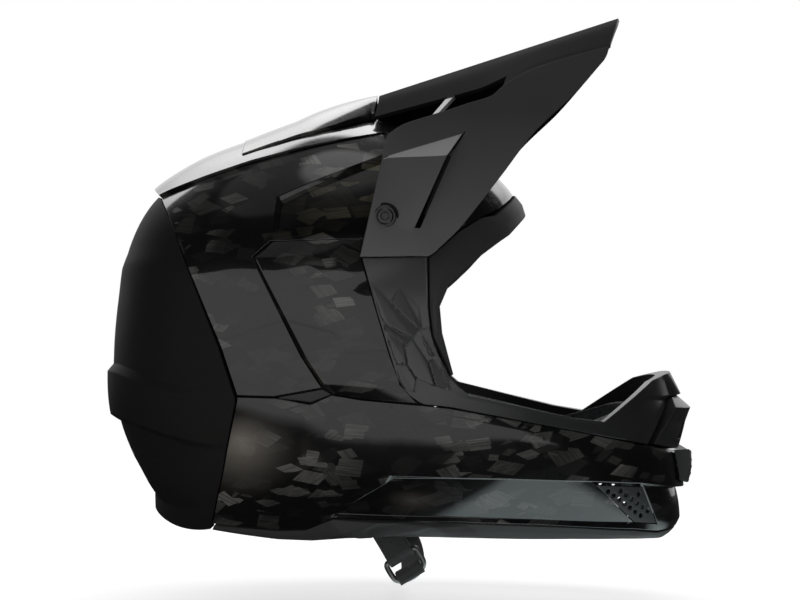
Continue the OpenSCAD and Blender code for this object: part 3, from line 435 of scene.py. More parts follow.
STITCHES = repeat_tree("stitches along a path", [
    ("Pitch", 0.0036), ("Stitch Length", 0.0028), ("Thread Radius", 0.0004)], stitch_parts)
HOLES = repeat_tree("holes on points", [("Hole Width", 0.0034), ("Depth", 0.006)], hole_parts)


def through_nodes(piece, tree, material, **inputs):
    """The piece as plain mesh after a Geometry Nodes tree."""
    step = piece.modifiers.new(tree.name, "NODES")
    step.node_group = tree
    given = {"Material": material, **{k.replace("_", " "): v for k, v in inputs.items()}}
    for socket in tree.interface.items_tree:
        if socket.in_out == "INPUT" and socket.name in given:
            step[socket.identifier] = given[socket.name]
    return apply_modifiers(piece)


def stitched(name, paths, material, **inputs):
    """Stitches along paths of points in millimetres."""
    points, edges = [], []
    for path in paths:
        edges += [(len(points) + k, len(points) + k + 1) for k in range(len(path) - 1)]
        points += [tuple(np.asarray(p, float) * MM) for p in path]
    mesh = bpy.data.meshes.new(name)
    mesh.from_pydata(points, edges, [])
    return through_nodes(placed(name, mesh), STITCHES, material, **inputs)


# Nets: rows of side-view places [x, z, lift]

def spans(net, size, axis):
    """How many cells each interval of a net gets, so that a cell is about the given size."""
    step = np.linalg.norm(np.diff(net[..., :2], axis=axis), axis=-1)
    longest = step.max(axis=1 - axis)
    return [max(1, int(math.ceil(s / size))) for s in longest]


def places(counts, first=0.0, last=0.0):
    """Places along a net for so many cells per interval, moved in at its two ends."""
    values = [i + k / n for i, n in enumerate(counts) for k in range(n)] + [float(len(counts))]
    values[0] += first
    values[-1] -= last
    return np.array(values)


def inset(net, axis):
    """Share of a net's first and last interval that half of the seam takes."""
    lines = np.moveaxis(net[..., :2], axis, 0)
    middle = lines.shape[1] // 2
    ends = [np.linalg.norm(lines[1, middle] - lines[0, middle]),
            np.linalg.norm(lines[-1, middle] - lines[-2, middle])]
    return [SEAM_GAP / 2 / e for e in ends]


def sample(net, us, vs):
    """Values of a net at every pair of places along its rows and columns."""
    i = np.minimum(us.astype(int), net.shape[0] - 2)
    j = np.minimum(vs.astype(int), net.shape[1] - 2)
    s, t = (us - i)[:, None, None], (vs - j)[None, :, None]
    return ((1 - s) * ((1 - t) * net[np.ix_(i, j)] + t * net[np.ix_(i, j + 1)])
            + s * ((1 - t) * net[np.ix_(i + 1, j)] + t * net[np.ix_(i + 1, j + 1)]))


def on_profile(spots):
    """Side-view places moved along their spokes onto the mid-plane's profile."""
    return spots * (profile_radius(angle_of(spots[:, 0], spots[:, 1]))
                    / np.hypot(spots[:, 0], spots[:, 1]))[:, None]


def both_sides(grid):
    """A grid that starts on the mid-plane, with its mirror image before it."""
    flipped = grid[:, :0:-1] * np.array([1, -1, 1])
    return np.concatenate([flipped, grid], axis=1)


class Net:
    """A net sampled finely: its side-view places, and which coarse cell each fine cell is in."""

    def __init__(self, net, size=3.0, mid=False, counts_u=None, counts_v=None):
        self.net = np.array(net, float)
        self.mid = mid
        u_ends, v_ends = inset(self.net, 0), inset(self.net, 1)
        self.us = places(counts_u or spans(self.net, size, 0), *u_ends)
        self.vs = places(counts_v or spans(self.net, size, 1), 0 if mid else v_ends[0],
                         v_ends[1])
        vs = np.where((self.vs < 1) & mid, self.vs ** 2, self.vs)
        if mid:
            self.net[:, 0, :2] = on_profile(self.net[:, 0, :2])
        self.at = sample(self.net, self.us, vs)
        if mid:
            moved = on_profile(self.at[:, 0, :2]) - self.at[:, 0, :2]
            share = np.maximum(0, 1 - vs)[None, :, None]
            self.at[..., :2] += share * moved[:, None]
        self.lift = self.at[..., 2].copy()

    def surface(self, lift=None):
        """Grid of points at the net's own lift or another."""
        used = self.lift if lift is None else lift
        grid = on_side(self.at[..., 0], self.at[..., 1], used)
        return both_sides(grid) if self.mid else grid

    def keep(self, missing):
        """Which fine cells stay, where missing tells for each coarse cell."""
        i = np.minimum(self.us[:-1].astype(int), self.net.shape[0] - 2)
        j = np.minimum(self.vs[:-1].astype(int), self.net.shape[1] - 2)
        held = np.array([[not missing(a, b) for b in j] for a in i])
        return np.concatenate([held[:, ::-1], held], axis=1) if self.mid else held


def inside(x, z, polygon):
    """True where a side-view place is inside a polygon."""
    x, z = np.broadcast_arrays(x, z)
    found = np.zeros(x.shape, bool)
    count = len(polygon)
    for k in range(count):
        (ax, az), (bx, bz) = polygon[k], polygon[(k + 1) % count]
        if az == bz:
            continue
        crossing = (az > z) != (bz > z)
        found ^= crossing & (x < (bx - ax) * (z - az) / (bz - az) + ax)
    return found


def within(spot, polygon):
    """True where one place is inside a side-view polygon."""
    return bool(inside(np.array(spot.x), np.array(spot.z), polygon))


def facets(x, z, corners, triangles):
    """Height over side-view places of a faceted relief, zero outside its triangles."""
    height = np.zeros(np.shape(x))
    for names in triangles:
        (ax, az, ah), (bx, bz, bh), (cx, cz, ch) = (corners[n] for n in names)
        area = (bx - ax) * (cz - az) - (cx - ax) * (bz - az)
        v = ((x - ax) * (cz - az) - (cx - ax) * (z - az)) / area
        w = ((bx - ax) * (z - az) - (x - ax) * (bz - az)) / area
        hit = (v >= -1e-6) & (w >= -1e-6) & (v + w <= 1 + 1e-6)
        height = np.where(hit, ah + v * (bh - ah) + w * (ch - ah), height)
    return height


def shell_piece(name, net, finish, back=-SHELL_WALL, **look):
    """Piece with a net's surface outside and another lift of the same net inside."""
    return grid_piece(name, net.surface(), net.surface(back), finish, **look)


# Finishes

def node_group(name, inputs, outputs):
    """New shader group: its nodes, what it is given and what it puts out."""
    tree = bpy.data.node_groups.new(name, "ShaderNodeTree")
    for label, kind, value in inputs:
        socket = tree.interface.new_socket(label, in_out="INPUT", socket_type=kind)
        socket.default_value = value
    for label, kind in outputs:
        tree.interface.new_socket(label, in_out="OUTPUT", socket_type=kind)
    nodes = Nodes(tree)
    return nodes, nodes.add("NodeGroupInput").outputs, nodes.add("NodeGroupOutput").inputs


# Layers of chips: turn in degrees, shift, and how much shorter than long a chip is
CHIP_LAYERS = ((12, 0.0, 2.1), (-38, 3.7, 1.7), (64, 9.1, 2.4), (-8, 5.3, 1.5), (37, 7.9, 2.6),
               (-66, 1.9, 1.9))


def chopped_fibre_group():
    """Straight-cut chips of fibre laid at random, with a painted glint: a few are painted bright,
    as if they catch the light, most hardly.
    """
    nodes, given, out = node_group(
        "chopped fibre",
        [("Chip Length", "NodeSocketFloat", 0.016), ("Rarity", "NodeSocketFloat", 4.0)],
        [("Chips", "NodeSocketFloat")])
    place = nodes.object_place()
    across = nodes.math("DIVIDE", 1.0, given["Chip Length"])
    chips = None
    for turn, shift, flat in CHIP_LAYERS:
        laid = nodes.add("ShaderNodeMapping", {
            "Vector": place, "Location": (shift, shift * 0.7, shift * 0.3),
            "Rotation": (math.radians(turn * 0.3), math.radians(turn), math.radians(turn * 0.2)),
            "Scale": (1.0, 0.6, flat)}, vector_type="POINT").outputs[0]
        chip = nodes.add("ShaderNodeTexVoronoi", {"Vector": laid, "Scale": across,
                                                  "Randomness": 1.0}, distance="CHEBYCHEV")
        chance = nodes.add("ShaderNodeSeparateColor", {0: chip.outputs["Color"]}).outputs
        cut = nodes.ramp(chance[1], 0, 1, 0.14, 0.46)
        held = nodes.ramp(nodes.math("SUBTRACT", cut, chip.outputs["Distance"]), 0, 0.02)
        stretched = nodes.add("ShaderNodeMapping", {
            "Vector": laid, "Scale": (50.0, 50.0, 800.0)}).outputs[0]
        strands = nodes.ramp(nodes.noise(stretched, 1.0, 3.0), 0.3, 0.7, 0.3, 1.0)
        # Painted glint: how bright a chip is stands in for the light it reflects
        bright = nodes.math("POWER", chance[0], given["Rarity"])
        shown = nodes.math("MULTIPLY", nodes.math("MULTIPLY", held, strands), bright)
        chips = shown if chips is None else nodes.math("MAXIMUM", chips, shown)
    crowd = nodes.ramp(nodes.noise(place, 16.0, 1.0), 0.42, 0.6, 0.18, 1.0)
    nodes.join(nodes.math("MULTIPLY", chips, crowd), out["Chips"])
    return nodes.tree


def grain_group():
    """Fine moulded grain with slow patches, for colour, roughness and bump."""
    nodes, given, out = node_group(
        "moulded grain", [("Grain Size", "NodeSocketFloat", 0.0006)],
        [("Height", "NodeSocketFloat"), ("Patches", "NodeSocketFloat")])
    place = nodes.object_place()
    fine = nodes.math("DIVIDE", 1.0, given["Grain Size"])
    nodes.join(nodes.noise(place, fine), out["Height"])
    nodes.join(nodes.noise(place, 22.0, 4.0), out["Patches"])
    return nodes.tree


def weave_group():
    """Plain weave over a UV map in metres: height of the crossing yarns."""
    nodes, given, out = node_group(
        "plain weave",
        [("Across", "NodeSocketFloat", 0.0011), ("Along", "NodeSocketFloat", 0.0009)],
        [("Height", "NodeSocketFloat"), ("Shade", "NodeSocketFloat")])
    place = nodes.split(nodes.add("ShaderNodeTexCoord").outputs["UV"])
    u = nodes.math("DIVIDE", place[0], given["Across"])
    v = nodes.math("DIVIDE", place[1], given["Along"])
    waves = [nodes.math("SINE", nodes.math("MULTIPLY", k, math.pi)) for k in (u, v)]
    cross = nodes.math("MULTIPLY", waves[0], waves[1])
    nodes.join(nodes.ramp(cross, -1, 1), out["Height"])
    nodes.join(nodes.ramp(nodes.math("ABSOLUTE", cross), 0, 1, 0.55, 1), out["Shade"])
    return nodes.tree


CHOPPED_FIBRE = chopped_fibre_group()
GRAIN = grain_group()
WEAVE = weave_group()


def use_group(nodes, tree, **inputs):
    """What a shader group puts out in this material, with its own values."""
    made = nodes.add("ShaderNodeGroup", node_tree=tree)
    for key, value in inputs.items():
        made.inputs[key.replace("_", " ")].default_value = value
    return made.outputs


def new_material(name):
    """New material, its nodes and the sockets of its shader."""
    material = bpy.data.materials.new(name)
    material.use_nodes = True
    nodes = Nodes(material.node_tree)
    return material, nodes, material.node_tree.nodes["Principled BSDF"].inputs


def set_plain(shader, **values):
    """Constants on the shader's own sockets."""
    for key, value in values.items():
        shader[key.replace("_", " ")].default_value = value


def bump(nodes, height, depth_mm, shader):
    """Relief in the shading of a surface."""
    made = nodes.add("ShaderNodeBump", {"Height": height, "Distance": depth_mm * MM,
                                        "Strength": 1.0})
    nodes.join(made.outputs[0], shader["Normal"])


def scaled(colour, share=1.0):
    """A colour made darker or lighter, with its alpha."""
    return tuple(c * share for c in colour) + (1,)


def carbon_gloss(name, rarity, dark, light, coat=1.0):
    """Chopped carbon under clear coat, its chips with a painted glint; the rarer its bright
    chips, the higher the rarity.
    """
    material, nodes, shader = new_material(name)
    chips = use_group(nodes, CHOPPED_FIBRE, Chip_Length=0.02, Rarity=rarity)
    grain = use_group(nodes, GRAIN, Grain_Size=0.004)
    nodes.join(nodes.mix(chips["Chips"], scaled(dark), scaled(light)), shader["Base Color"])
    nodes.join(nodes.ramp(grain["Patches"], 0.3, 0.7, 0.24, 0.34), shader["Roughness"])
    set_plain(shader, Specular_IOR_Level=0.15, Coat_Weight=coat, Coat_Roughness=0.04)
    bump(nodes, grain["Patches"], 0.03, shader)
    return material


def matte_moulding(name, colour, roughness, mirror=0.5, other=None, way=(0, 0.072, 0.125)):
    """Moulded matte face; another colour takes over along an axis, from one place to the next."""
    material, nodes, shader = new_material(name)
    set_plain(shader, Specular_IOR_Level=mirror)
    grain = use_group(nodes, GRAIN, Grain_Size=0.0007)
    shades = [nodes.mix(grain["Patches"], scaled(each, 0.86), scaled(each, 1.12))
              for each in (colour, other or colour)]
    # Painted light and shade: the second colour takes over along the axis, so one end looks lit
    # and the other shaded
    if other:
        place = nodes.split(nodes.object_place())
        shades[0] = nodes.mix(nodes.ramp(place[way[0]], *way[1:]), *shades)
    nodes.join(shades[0], shader["Base Color"])
    nodes.join(nodes.ramp(grain["Patches"], 0.3, 0.7, roughness - 0.04, roughness + 0.05),
               shader["Roughness"])
    bump(nodes, grain["Height"], 0.02, shader)
    return material


def beaded_foam():
    """Black foam of small beads pressed together."""
    material, nodes, shader = new_material("beaded_foam")
    place = nodes.object_place()
    beads = nodes.add("ShaderNodeTexVoronoi", {"Vector": place, "Scale": 330.0},
                      feature="SMOOTH_F1")
    edges = nodes.add("ShaderNodeTexVoronoi", {"Vector": place, "Scale": 330.0},
                      feature="DISTANCE_TO_EDGE").outputs["Distance"]
    tint = nodes.add("ShaderNodeSeparateColor", {0: beads.outputs["Color"]}).outputs[0]
    body = nodes.mix(tint, (0.012, 0.012, 0.013, 1), (0.022, 0.022, 0.023, 1))
    nodes.join(nodes.mix(nodes.ramp(edges, 0.0, 0.08), (0.005, 0.005, 0.005, 1), body),
               shader["Base Color"])
    set_plain(shader, Roughness=0.8)
    bump(nodes, nodes.ramp(edges, 0.0, 0.25), 0.25, shader)
    return material


def brushed_cloth():
    """Dark cloth with raised loops."""
    material, nodes, shader = new_material("pad_cloth")
    place = nodes.object_place()
    loops = nodes.add("ShaderNodeTexVoronoi", {"Vector": place, "Scale": 900.0}).outputs[0]
    slow = nodes.noise(place, 45.0)
    high = nodes.math("ADD", loops, nodes.math("MULTIPLY", nodes.noise(place, 2600.0), 0.5))
    shade = nodes.math("MULTIPLY", nodes.ramp(loops, 0.0, 0.6, 1.0, 0.55),
                       nodes.ramp(slow, 0.3, 0.7, 0.8, 1.1))
    nodes.join(nodes.mix(shade, (0.006, 0.006, 0.0065, 1), (0.036, 0.036, 0.038, 1)),
               shader["Base Color"])
    set_plain(shader, Roughness=0.95, Sheen_Weight=0.35, Sheen_Roughness=0.5)
    bump(nodes, high, 0.25, shader)
    return material


def woven_webbing():
    """Black webbing in plain weave."""
    material, nodes, shader = new_material("webbing")
    weave = use_group(nodes, WEAVE, Across=0.0011, Along=0.0008)
    nodes.join(nodes.mix(weave["Shade"], (0.008, 0.008, 0.008, 1), (0.05, 0.05, 0.051, 1)),
               shader["Base Color"])
    set_plain(shader, Roughness=0.75, Sheen_Weight=0.15)
    bump(nodes, weave["Height"], 0.22, shader)
    return material


def worked_steel(name, colour, roughness):
    """Steel with fine marks of its making."""
    material, nodes, shader = new_material(name)
    grain = use_group(nodes, GRAIN, Grain_Size=0.0004)
    nodes.join(nodes.mix(grain["Patches"], scaled(colour, 0.8), scaled(colour)),
               shader["Base Color"])
    nodes.join(nodes.ramp(grain["Height"], 0.3, 0.7, roughness - 0.06, roughness + 0.08),
               shader["Roughness"])
    set_plain(shader, Metallic=1.0)
    bump(nodes, grain["Height"], 0.008, shader)
    return material


GLOSS = carbon_gloss("carbon_gloss", 5.5, (0.0032, 0.0032, 0.0033), (0.175, 0.172, 0.163))
# Painted shade for the pocket: darker carbon, with little clear coat to mirror the room
POCKET_SHADE_GLOSS = carbon_gloss("pocket_carbon_painted_shade", 4.5, (0.002, 0.002, 0.002), (0.16, 0.15, 0.1), 0.1)
MATTE = matte_moulding("matte_moulding", (0.018, 0.018, 0.0182), 0.4)
# Painted light and shade: lighter over the lit pillars, darker towards the front of the chin trim
FRAME_MATTE = matte_moulding("face_frame_matte", (0.07, 0.07, 0.0705), 0.34, 0.6,
                             (0.018, 0.018, 0.0182))
TRIM_MATTE = matte_moulding("trim_matte", (0.042, 0.042, 0.0422), 0.5, 0.25)
REAR_MATTE = matte_moulding("rear_shell_matte", (0.011, 0.011, 0.0112), 0.55, 0.1)
# Painted shade: near black on the visor's faces that look down or inwards and in its slot
PAINTED_SHADE_BLACK = matte_moulding("painted_shade_black", (0.003, 0.003, 0.003), 0.6, 0.1)
# Painted highlight on the nose vent's lip and the visor's strut
PAINTED_HIGHLIGHT_SATIN = matte_moulding("painted_highlight_satin", (0.3, 0.3, 0.3), 0.35)
# Painted light and shade: lighter low on the visor's arms, where the front light falls, darker
# towards the top
VISOR_MATTE = matte_moulding("visor_matte", (0.135, 0.135, 0.1355), 0.4, 0.4,
                             (0.052, 0.052, 0.0525), (2, 0.025, 0.108))
# Painted shade on the visor's upward faces
VISOR_TOP_PAINTED_SHADE = matte_moulding("visor_top_painted_shade", (0.028, 0.028, 0.0285), 0.85, 0.05)
# Painted highlight on the lit facet of the visor's arm
VISOR_PAINTED_HIGHLIGHT = matte_moulding("visor_painted_highlight", (0.24, 0.24, 0.241), 0.34)
FOAM = beaded_foam()
CLOTH = brushed_cloth()
WEBBING = woven_webbing()
THREAD = matte_moulding("sewing_thread", (0.05, 0.05, 0.052), 0.7, 0.2)
STEEL = worked_steel("ring_steel", (0.55, 0.55, 0.56), 0.28)
RING_STEEL = worked_steel("dull_ring_steel", (0.2, 0.195, 0.19), 0.36)
DARK_STEEL = worked_steel("black_steel", (0.06, 0.06, 0.062), 0.38)


def stands_for(piece, body, slot, *nodes):
    """The piece rides on a body and stands for CAD nodes, which are hidden; the slot is not used.
    """
    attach(piece, body)
    if nodes:
        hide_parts(*nodes)
    return piece


def pair(piece, stem, body, slot):
    """A left piece and its mirrored twin, each for the CAD node of its side."""
    piece.name = stem + "_left_skin"
    twin = mirrored(piece, stem + "_right_skin")
    for side, each in (("left", piece), ("right", twin)):
        stands_for(each, body, slot, f"{stem}_{side}")


# Camera

def place_camera():
    """The photograph's camera, square on to the right side."""
    data = bpy.data.cameras.new("camera")
    data.sensor_width = SENSOR
    data.lens = SENSOR * VIEW_DISTANCE / VIEW_WIDTH
    camera = placed("camera", data)
    camera.location = Vector(VIEW_CENTRE) + Vector((0, -VIEW_DISTANCE, 0))
    camera.rotation_euler = (math.radians(90), 0, 0)
    bpy.context.scene.camera = camera


# Roof

ROOF_SEAM = np.array([[-91.8, 60.5], [-62, 70.8], [-35, 79.3], [-5, 87], [41.5, 97.6], [75, 82],
                      [93, 68], [106, 52]], float)
ROOF_MIDDLE = np.array([146.5, 128, 113, 97, 74, 54, 40, 28.6])
ROOF_TAIL = np.array([6, 3.4, 0.4, 0, 0, 0, 0, 0])
ROOF_EDGE = np.array([2.5, 2, 2, 1.8, 0.8, 0.2, 0, 0])


def roof_edge_y(u):
    """Distance of the roof's edge from the mid-plane."""
    seam = at(ROOF_SEAM, u)
    return half_width(seam[..., 0], seam[..., 1]) - SEAM_GAP / 2


def roof_lift(u, f):
    """The roof's rise over the body: at the tail in the middle, elsewhere along its edge."""
    return at(ROOF_TAIL, u) * (1 - f ** 2) + at(ROOF_EDGE, u) * np.abs(f) ** 6


def roof_spot(u, f, lift):
    """Points on rows of the roof, at a share f of the way from the mid-plane to the seam."""
    seam, middle = at(ROOF_SEAM, u), at(ROOF_MIDDLE, u)
    turn = angle_of(seam[..., 0], seam[..., 1]) - middle
    return on_spoke(middle + turn * np.abs(f), roof_edge_y(u) * f, lift)


def roof_shell():
    """Shell over the middle of the head, from the tail to the brow."""
    us = places([10, 9, 9, 12, 14, 8, 7], 0.01, 0.015)[:, None]
    share = np.array([0, 0.06, 0.12, 0.18, 0.27, 0.36, 0.46, 0.56, 0.66, 0.76, 0.84, 0.9, 0.94,
                      0.97, 0.985, 1])[None, :]
    outer = both_sides(roof_spot(us, share, roof_lift(us, share)))
    inner = both_sides(roof_spot(us, share, -SHELL_WALL))
    return grid_piece("roof_shell_skin", outer, inner, GLOSS)


SPINE_REAR = -42.0
SPINE_FRONT = 36.4
SPINE_HALF = 33.0
SPINE_RISE = 15.0
SPINE_EDGE = ([-42, -20, 0, 15, 25, 30, 34], [1.806, 1.909, 1.939, 1.736, 1.455, 1.23, 1])
SPINE_STEP = 0.5
SPINE_FLANK = 3.6
SPINE_START = 0.28
SPINE_TUCK = 1.6
SPINE_TOP_SHARE = 0.985
HALVINGS = 18


def on_roof(x, y):
    """Points of the roof's face over places of the plan, with the fit gap on top."""
    low, high = np.zeros(x.shape), np.full(x.shape, len(ROOF_SEAM) - 1.0)
    for _ in range(HALVINGS):
        middle = (low + high) / 2
        short = roof_spot(middle, y / roof_edge_y(middle), 0)[..., 0] < x
        low, high = np.where(short, middle, low), np.where(short, high, middle)
    f = y / roof_edge_y(low)
    return roof_spot(low, f, roof_lift(low, f) + FIT_GAP)


def roof_spine():
    """Raised spine, whose crown and flanks climb towards the front, where the visor stops."""
    t = np.linspace(0, 1, 36)[:, None]
    f = np.concatenate([np.linspace(-1, -0.92, 4), np.linspace(-0.88, 0.88, 25),
                        np.linspace(0.92, 1, 4)])[None, :]
    x = SPINE_REAR + (SPINE_FRONT - SPINE_REAR) * t
    half = SPINE_HALF * np.interp(x, *SPINE_EDGE)

    def spot(share):
        return on_roof(x - SPINE_TUCK * share ** 2 * t, share * half)
    flank = SPINE_STEP + SPINE_FLANK * t ** 1.5
    climb = np.maximum(0, t - SPINE_START) / (1 - SPINE_START)
    crown = np.maximum(0, SPINE_RISE * climb ** 1.25 - flank)
    top = spot(f * SPINE_TOP_SHARE)
    top[..., 2] += flank + crown * (1 - f ** 2)
    return grid_piece("roof_spine_skin", top, spot(f), GLOSS, edge=0.5)


# Side shells, panels and vents

def side_shell_net():
    """Rows from the roof's seam down: edge of the pocket, its floor, its shelf, and the flank."""
    d = -POCKET_DEPTH
    return [
        [[-91.8, 60.5, 0], [-62, 70.8, 0], [-35, 79.3, 0], [-31, 80.3, 0], [-5, 87, 0],
         [41.5, 97.6, 0], [75, 82, 0], [93, 68, 0], [106, 52, 0]],
        [[-85, 50, 0], [-55, 60, 0], [-21, 57.6, 0], [-17.5, 59.4, 0], [-4.4, 65.2, 0],
         [41, 84, 0], [73, 68, 0], [90, 59, 0], [103.7, 51, 0]],
        [[-84, 48, 0], [-54, 57, 0], [-20.5, 56, 0], [-17, 55.6, d - 0.4], [-3.6, 62.4, d - 0.4],
         [40, 80.8, d - 0.4], [72.5, 66, 0], [89.6, 58, 0], [103.3, 50.8, 0]],
        [[-76.5, 32, 0], [-52, 38, 0], [-22.4, 35.6, 0], [-19, 36.6, d + 1.6], [0, 36.8, d + 1.6],
         [29.6, 37.6, d + 1.6], [68, 36, 0], [86, 46, 0], [100, 49.5, 0]],
        [[-75, 29, 0], [-52, 35, 0], [-23, 33.2, 0], [-20, 33.5, -1], [0, 34, -1],
         [29, 34.8, -1], [67.5, 33, 0], [85.5, 44.5, 0], [99.4, 49.2, 0]],
        [[-71.6, 21, 0], [-52, 22, 0], [-33.2, 24, 0], [-20, 28, 0], [0, 28, 0], [28, 24, 0],
         [66, 25, 0], [84, 40, 0], [98, 48.6, 0]],
        [[-51, -26, 0], [-29, -29, 0], [-5.4, -31.5, 0], [0, -31, 0], [6, -31, 0], [28, -30, 0],
         [66, -30, 0], [84, -30, 0], [98, -30, 0]],
        [[-41.8, -54, 0], [-20.6, -54.4, 0], [6.2, -49.4, 0], [12, -49, 0], [16, -49, 0],
         [28, -49, 0], [66, -49, 0], [84, -49, 0], [98, -49, 0]]]


POCKET_EDGE = [[-17.2, 55.4], [-3.8, 62.2], [39.8, 80.6], [75, 80], [68, 37], [29.4, 37.4],
               [0, 36.6], [-19.2, 36.4]]


def side_shell():
    """Shell beside the roof, open where the raised panel lies."""
    net = Net(side_shell_net())

    def panel_place(i, j):
        return (i >= 5 and j >= 2) or (i == 4 and 2 <= j < 5)
    piece = shell_piece("side_shell", net, GLOSS, keep=net.keep(panel_place))
    # Painted shade: the pocket's floor gets the darker carbon with little coat
    return refinish(piece, POCKET_SHADE_GLOSS, lambda p, n: n.y > 0.2 and within(p, POCKET_EDGE))


PANEL_NET = [
    [[-21.5, 33.2, -1], [-18.4, 33.3, -0.9], [4, 34, -1], [29, 34.8, -1]],
    [[-33, 23, 0.2], [-30.4, 23, PANEL_RISE], [0, 23.2, PANEL_RISE], [28, 23.6, 1]],
    [[-5.2, -31.4, 0.2], [-2.4, -31.5, PANEL_RISE], [20, -31.8, PANEL_RISE + 0.4],
     [44.4, -31.5, 1]],
    [[5.6, -46.8, 0.4], [8, -47, PANEL_RISE], [27, -48, PANEL_RISE], [50.4, -47.6, 0.8]],
    [[12, -52.2, 0.4], [14, -52.6, 0.6], [28, -55.4, 1], [60, -58.2, 0.4]]]


def side_panel():
    """Raised panel below the pocket."""
    return shell_piece("side_panel", Net(PANEL_NET), GLOSS, creases=18)


VENT_SINK = -2.4
VENT_ROWS = [[[-18.5, -55.1], [-5, -52.6], [6.6, -50.4], [11, -53]],
             [[-18.3, -55.6], [-9, -56.6], [-0.4, -57.7], [10.6, -53.5]]]


def side_vent():
    """Small sunk insert between column, panel and chin bar."""
    net = Net([[[*spot, VENT_SINK] for spot in row] for row in VENT_ROWS], 1.0)
    return shell_piece("side_vent", net, MATTE, edge=0)


# Rear shell: its seam, and along it the middle's angle, the rise and how late the rows turn

REAR_SEAM = [[-91.8, 60.5], [-82, 44.6], [-73.2, 24.6], [-70.5, 18.4], [-51, -26], [-45.8, -42],
             [-44.4, -46.6], [-41.8, -54.3], [-42.2, -57.5], [-47.2, -80], [-47.8, -82.6],
             [-50.8, -98], [-53.8, -109], [-55.2, -114.5], [-59.6, -132.2]]
REAR_MIDDLE = [147.5, 156, 167.8, 171.5, 195.5, 197.5, 199.4, 204, 206, 209.5, 211.5, 220,
               226, 229, 232]
REAR_RISE = [0, 0, 0, BAND_RISE, BAND_RISE, BAND_RISE, BUMPER_RISE, BUMPER_RISE, BUMPER_RISE,
             BUMPER_RISE, 0, 0.4, -0.7, -2, 2]
REAR_TURN = [1, 1, 1, 1.5, 3, 4, 4, 4, 4, 4, 3.6, 2.2, 1.9, 1.9, 2.0]


def rear_shell():
    """Shell behind the seam, on spokes that turn from the seam's to the middle's angle."""
    us = places([5, 6, 3, 14, 5, 3, 3, 2, 6, 3, 5, 5, 3, 5])
    share = np.concatenate([np.linspace(0, 0.8, 22), np.linspace(0.83, 1, 9)])[None, :]
    seam, middle = at(REAR_SEAM, us), at(REAR_MIDDLE, us)[:, None]
    aim = np.mod(angle_of(seam[:, 0], seam[:, 1]), 360)[:, None]
    y = (half_width(seam[:, 0], seam[:, 1]) - SEAM_GAP)[:, None] * share
    angle = middle + (aim - middle) * share ** at(REAR_TURN, us)[:, None]
    lift = at(REAR_RISE, us)[:, None] * (1 - share ** 8)
    outer = both_sides(on_spoke(angle, y, lift))
    inner = both_sides(on_spoke(angle, y, -SHELL_WALL))
    return grid_piece("rear_shell_skin", outer, inner, REAR_MATTE, creases=20)


# Chin bar

def chin_net():
    """Rows from the upper trim down: band, ridge, recess with the vent, and the rim."""
    h, r = RIDGE_RISE, -RECESS + 0.2
    return [
        [[213, -88.7, 0], [190, -84.4, 0], [160, -77.6, 0], [116, -68.6, 0], [78, -61, 0],
         [62, -59.2, 0], [28, -55.8, 0], [12, -53, 0], [0, -58.6, 0], [-20.6, -55, 0],
         [-41.8, -54.6, 0]],
        [[213.4, -90.4, 0.6], [190, -86, 0.6], [160, -79.4, 0.6], [116, -71.4, 0.6],
         [78, -65, 0.6], [55, -62.8, 0.6], [27.6, -62.7, 0.6], [8, -61, 0.4], [-3, -60, 0.2],
         [-21, -57.5, 0], [-42, -57, 0]],
        [[212, -108.6, h], [189, -106.6, h], [160, -104, h], [112, -101.1, h], [80, -99.9, h],
         [49, -98.6, h * 0.7], [40, -97.6, h * 0.6], [10, -95, h * 0.3], [-6, -91, 0],
         [-23, -87, 0], [-47.6, -82, 0]],
        [[213, -110, r], [193.6, -108.6, r], [162, -105.4, r], [112, -102.6, r],
         [80, -101.4, r], [46.6, -100.8, r], [42, -103, h * 0.5], [11, -106, 0],
         [-9, -104, 0], [-26, -101, 0], [-50.8, -98, 0]],
        [[218, -131.4, 5.5], [202, -132.4, 1.5], [188.8, -131.6, r], [128, -126.6, r],
         [78, -123.8, r], [13, -121.4, r], [10, -122.4, 0], [-3, -127.6, 0],
         [-19, -128.4, 0], [-37, -127.4, 0], [-57.6, -126.3, 0]],
        [[216, -136.6, 5], [203, -137.4, 1.6], [189, -135.4, 0.2], [128, -129.4, 0.2],
         [78, -126.4, 0.2], [12, -123.6, 0.2], [9, -125, 0.2], [-3.6, -130.6, 0],
         [-20, -131.4, 0], [-38, -130.4, 0], [-59, -129.3, 0]]]


def chin_vent(i, j):
    """The one cell of the chin bar's and its liner's net that is open behind the mesh."""
    return i == 3 and j == 1


def chin_bar_shell():
    """Gloss shell of the chin bar, open behind its mesh plates."""
    net = Net(chin_net(), mid=True)
    return shell_piece("chin_bar_shell_skin", net, GLOSS, keep=net.keep(chin_vent), creases=16)


# Face frame with its sculpted pillars

FRAME_INNER = [[207, -43], [206.4, -43.8], [204.4, -44.6], [199, -47], [168, -70.2],
               [150, -67.6], [120.2, -60.8], [88.7, -53.3], [84, -49], [78.6, -43.3], [72, -31],
               [68, -20.2], [66.3, -4.5], [66, 24.6]]
FRAME_OUTER = [[213, -88.2], [197.2, -85.6], [195, -85.1], [190, -83.8], [172, -79.8],
               [150, -75], [116, -68], [78.2, -60.4], [62.6, -58.6], [53.7, -52.4],
               [48.4, -43.6], [42.6, -25], [37, -6.6], [28.4, 23.6]]
NOSE_SINK = 6.0
NOSE_SHARE = 0.32
# Where the columns next to the nose bend, and how far their upper rows rise
NOSE_BEND = {0: [213, -61.5], 1: [212.2, -61.2], 2: [209.9, -60.4]}
NOSE_RISE = [[5, 4.5, 2.5, 1.2], [9, 8.5, 3, 1]]
STRIPS = [0, 0.27, NOSE_SHARE, 0.66, 1]
FRAME_RISE = 0.3
FRAME_LIP = 0.6
LEAF_DEPTH = 1.5

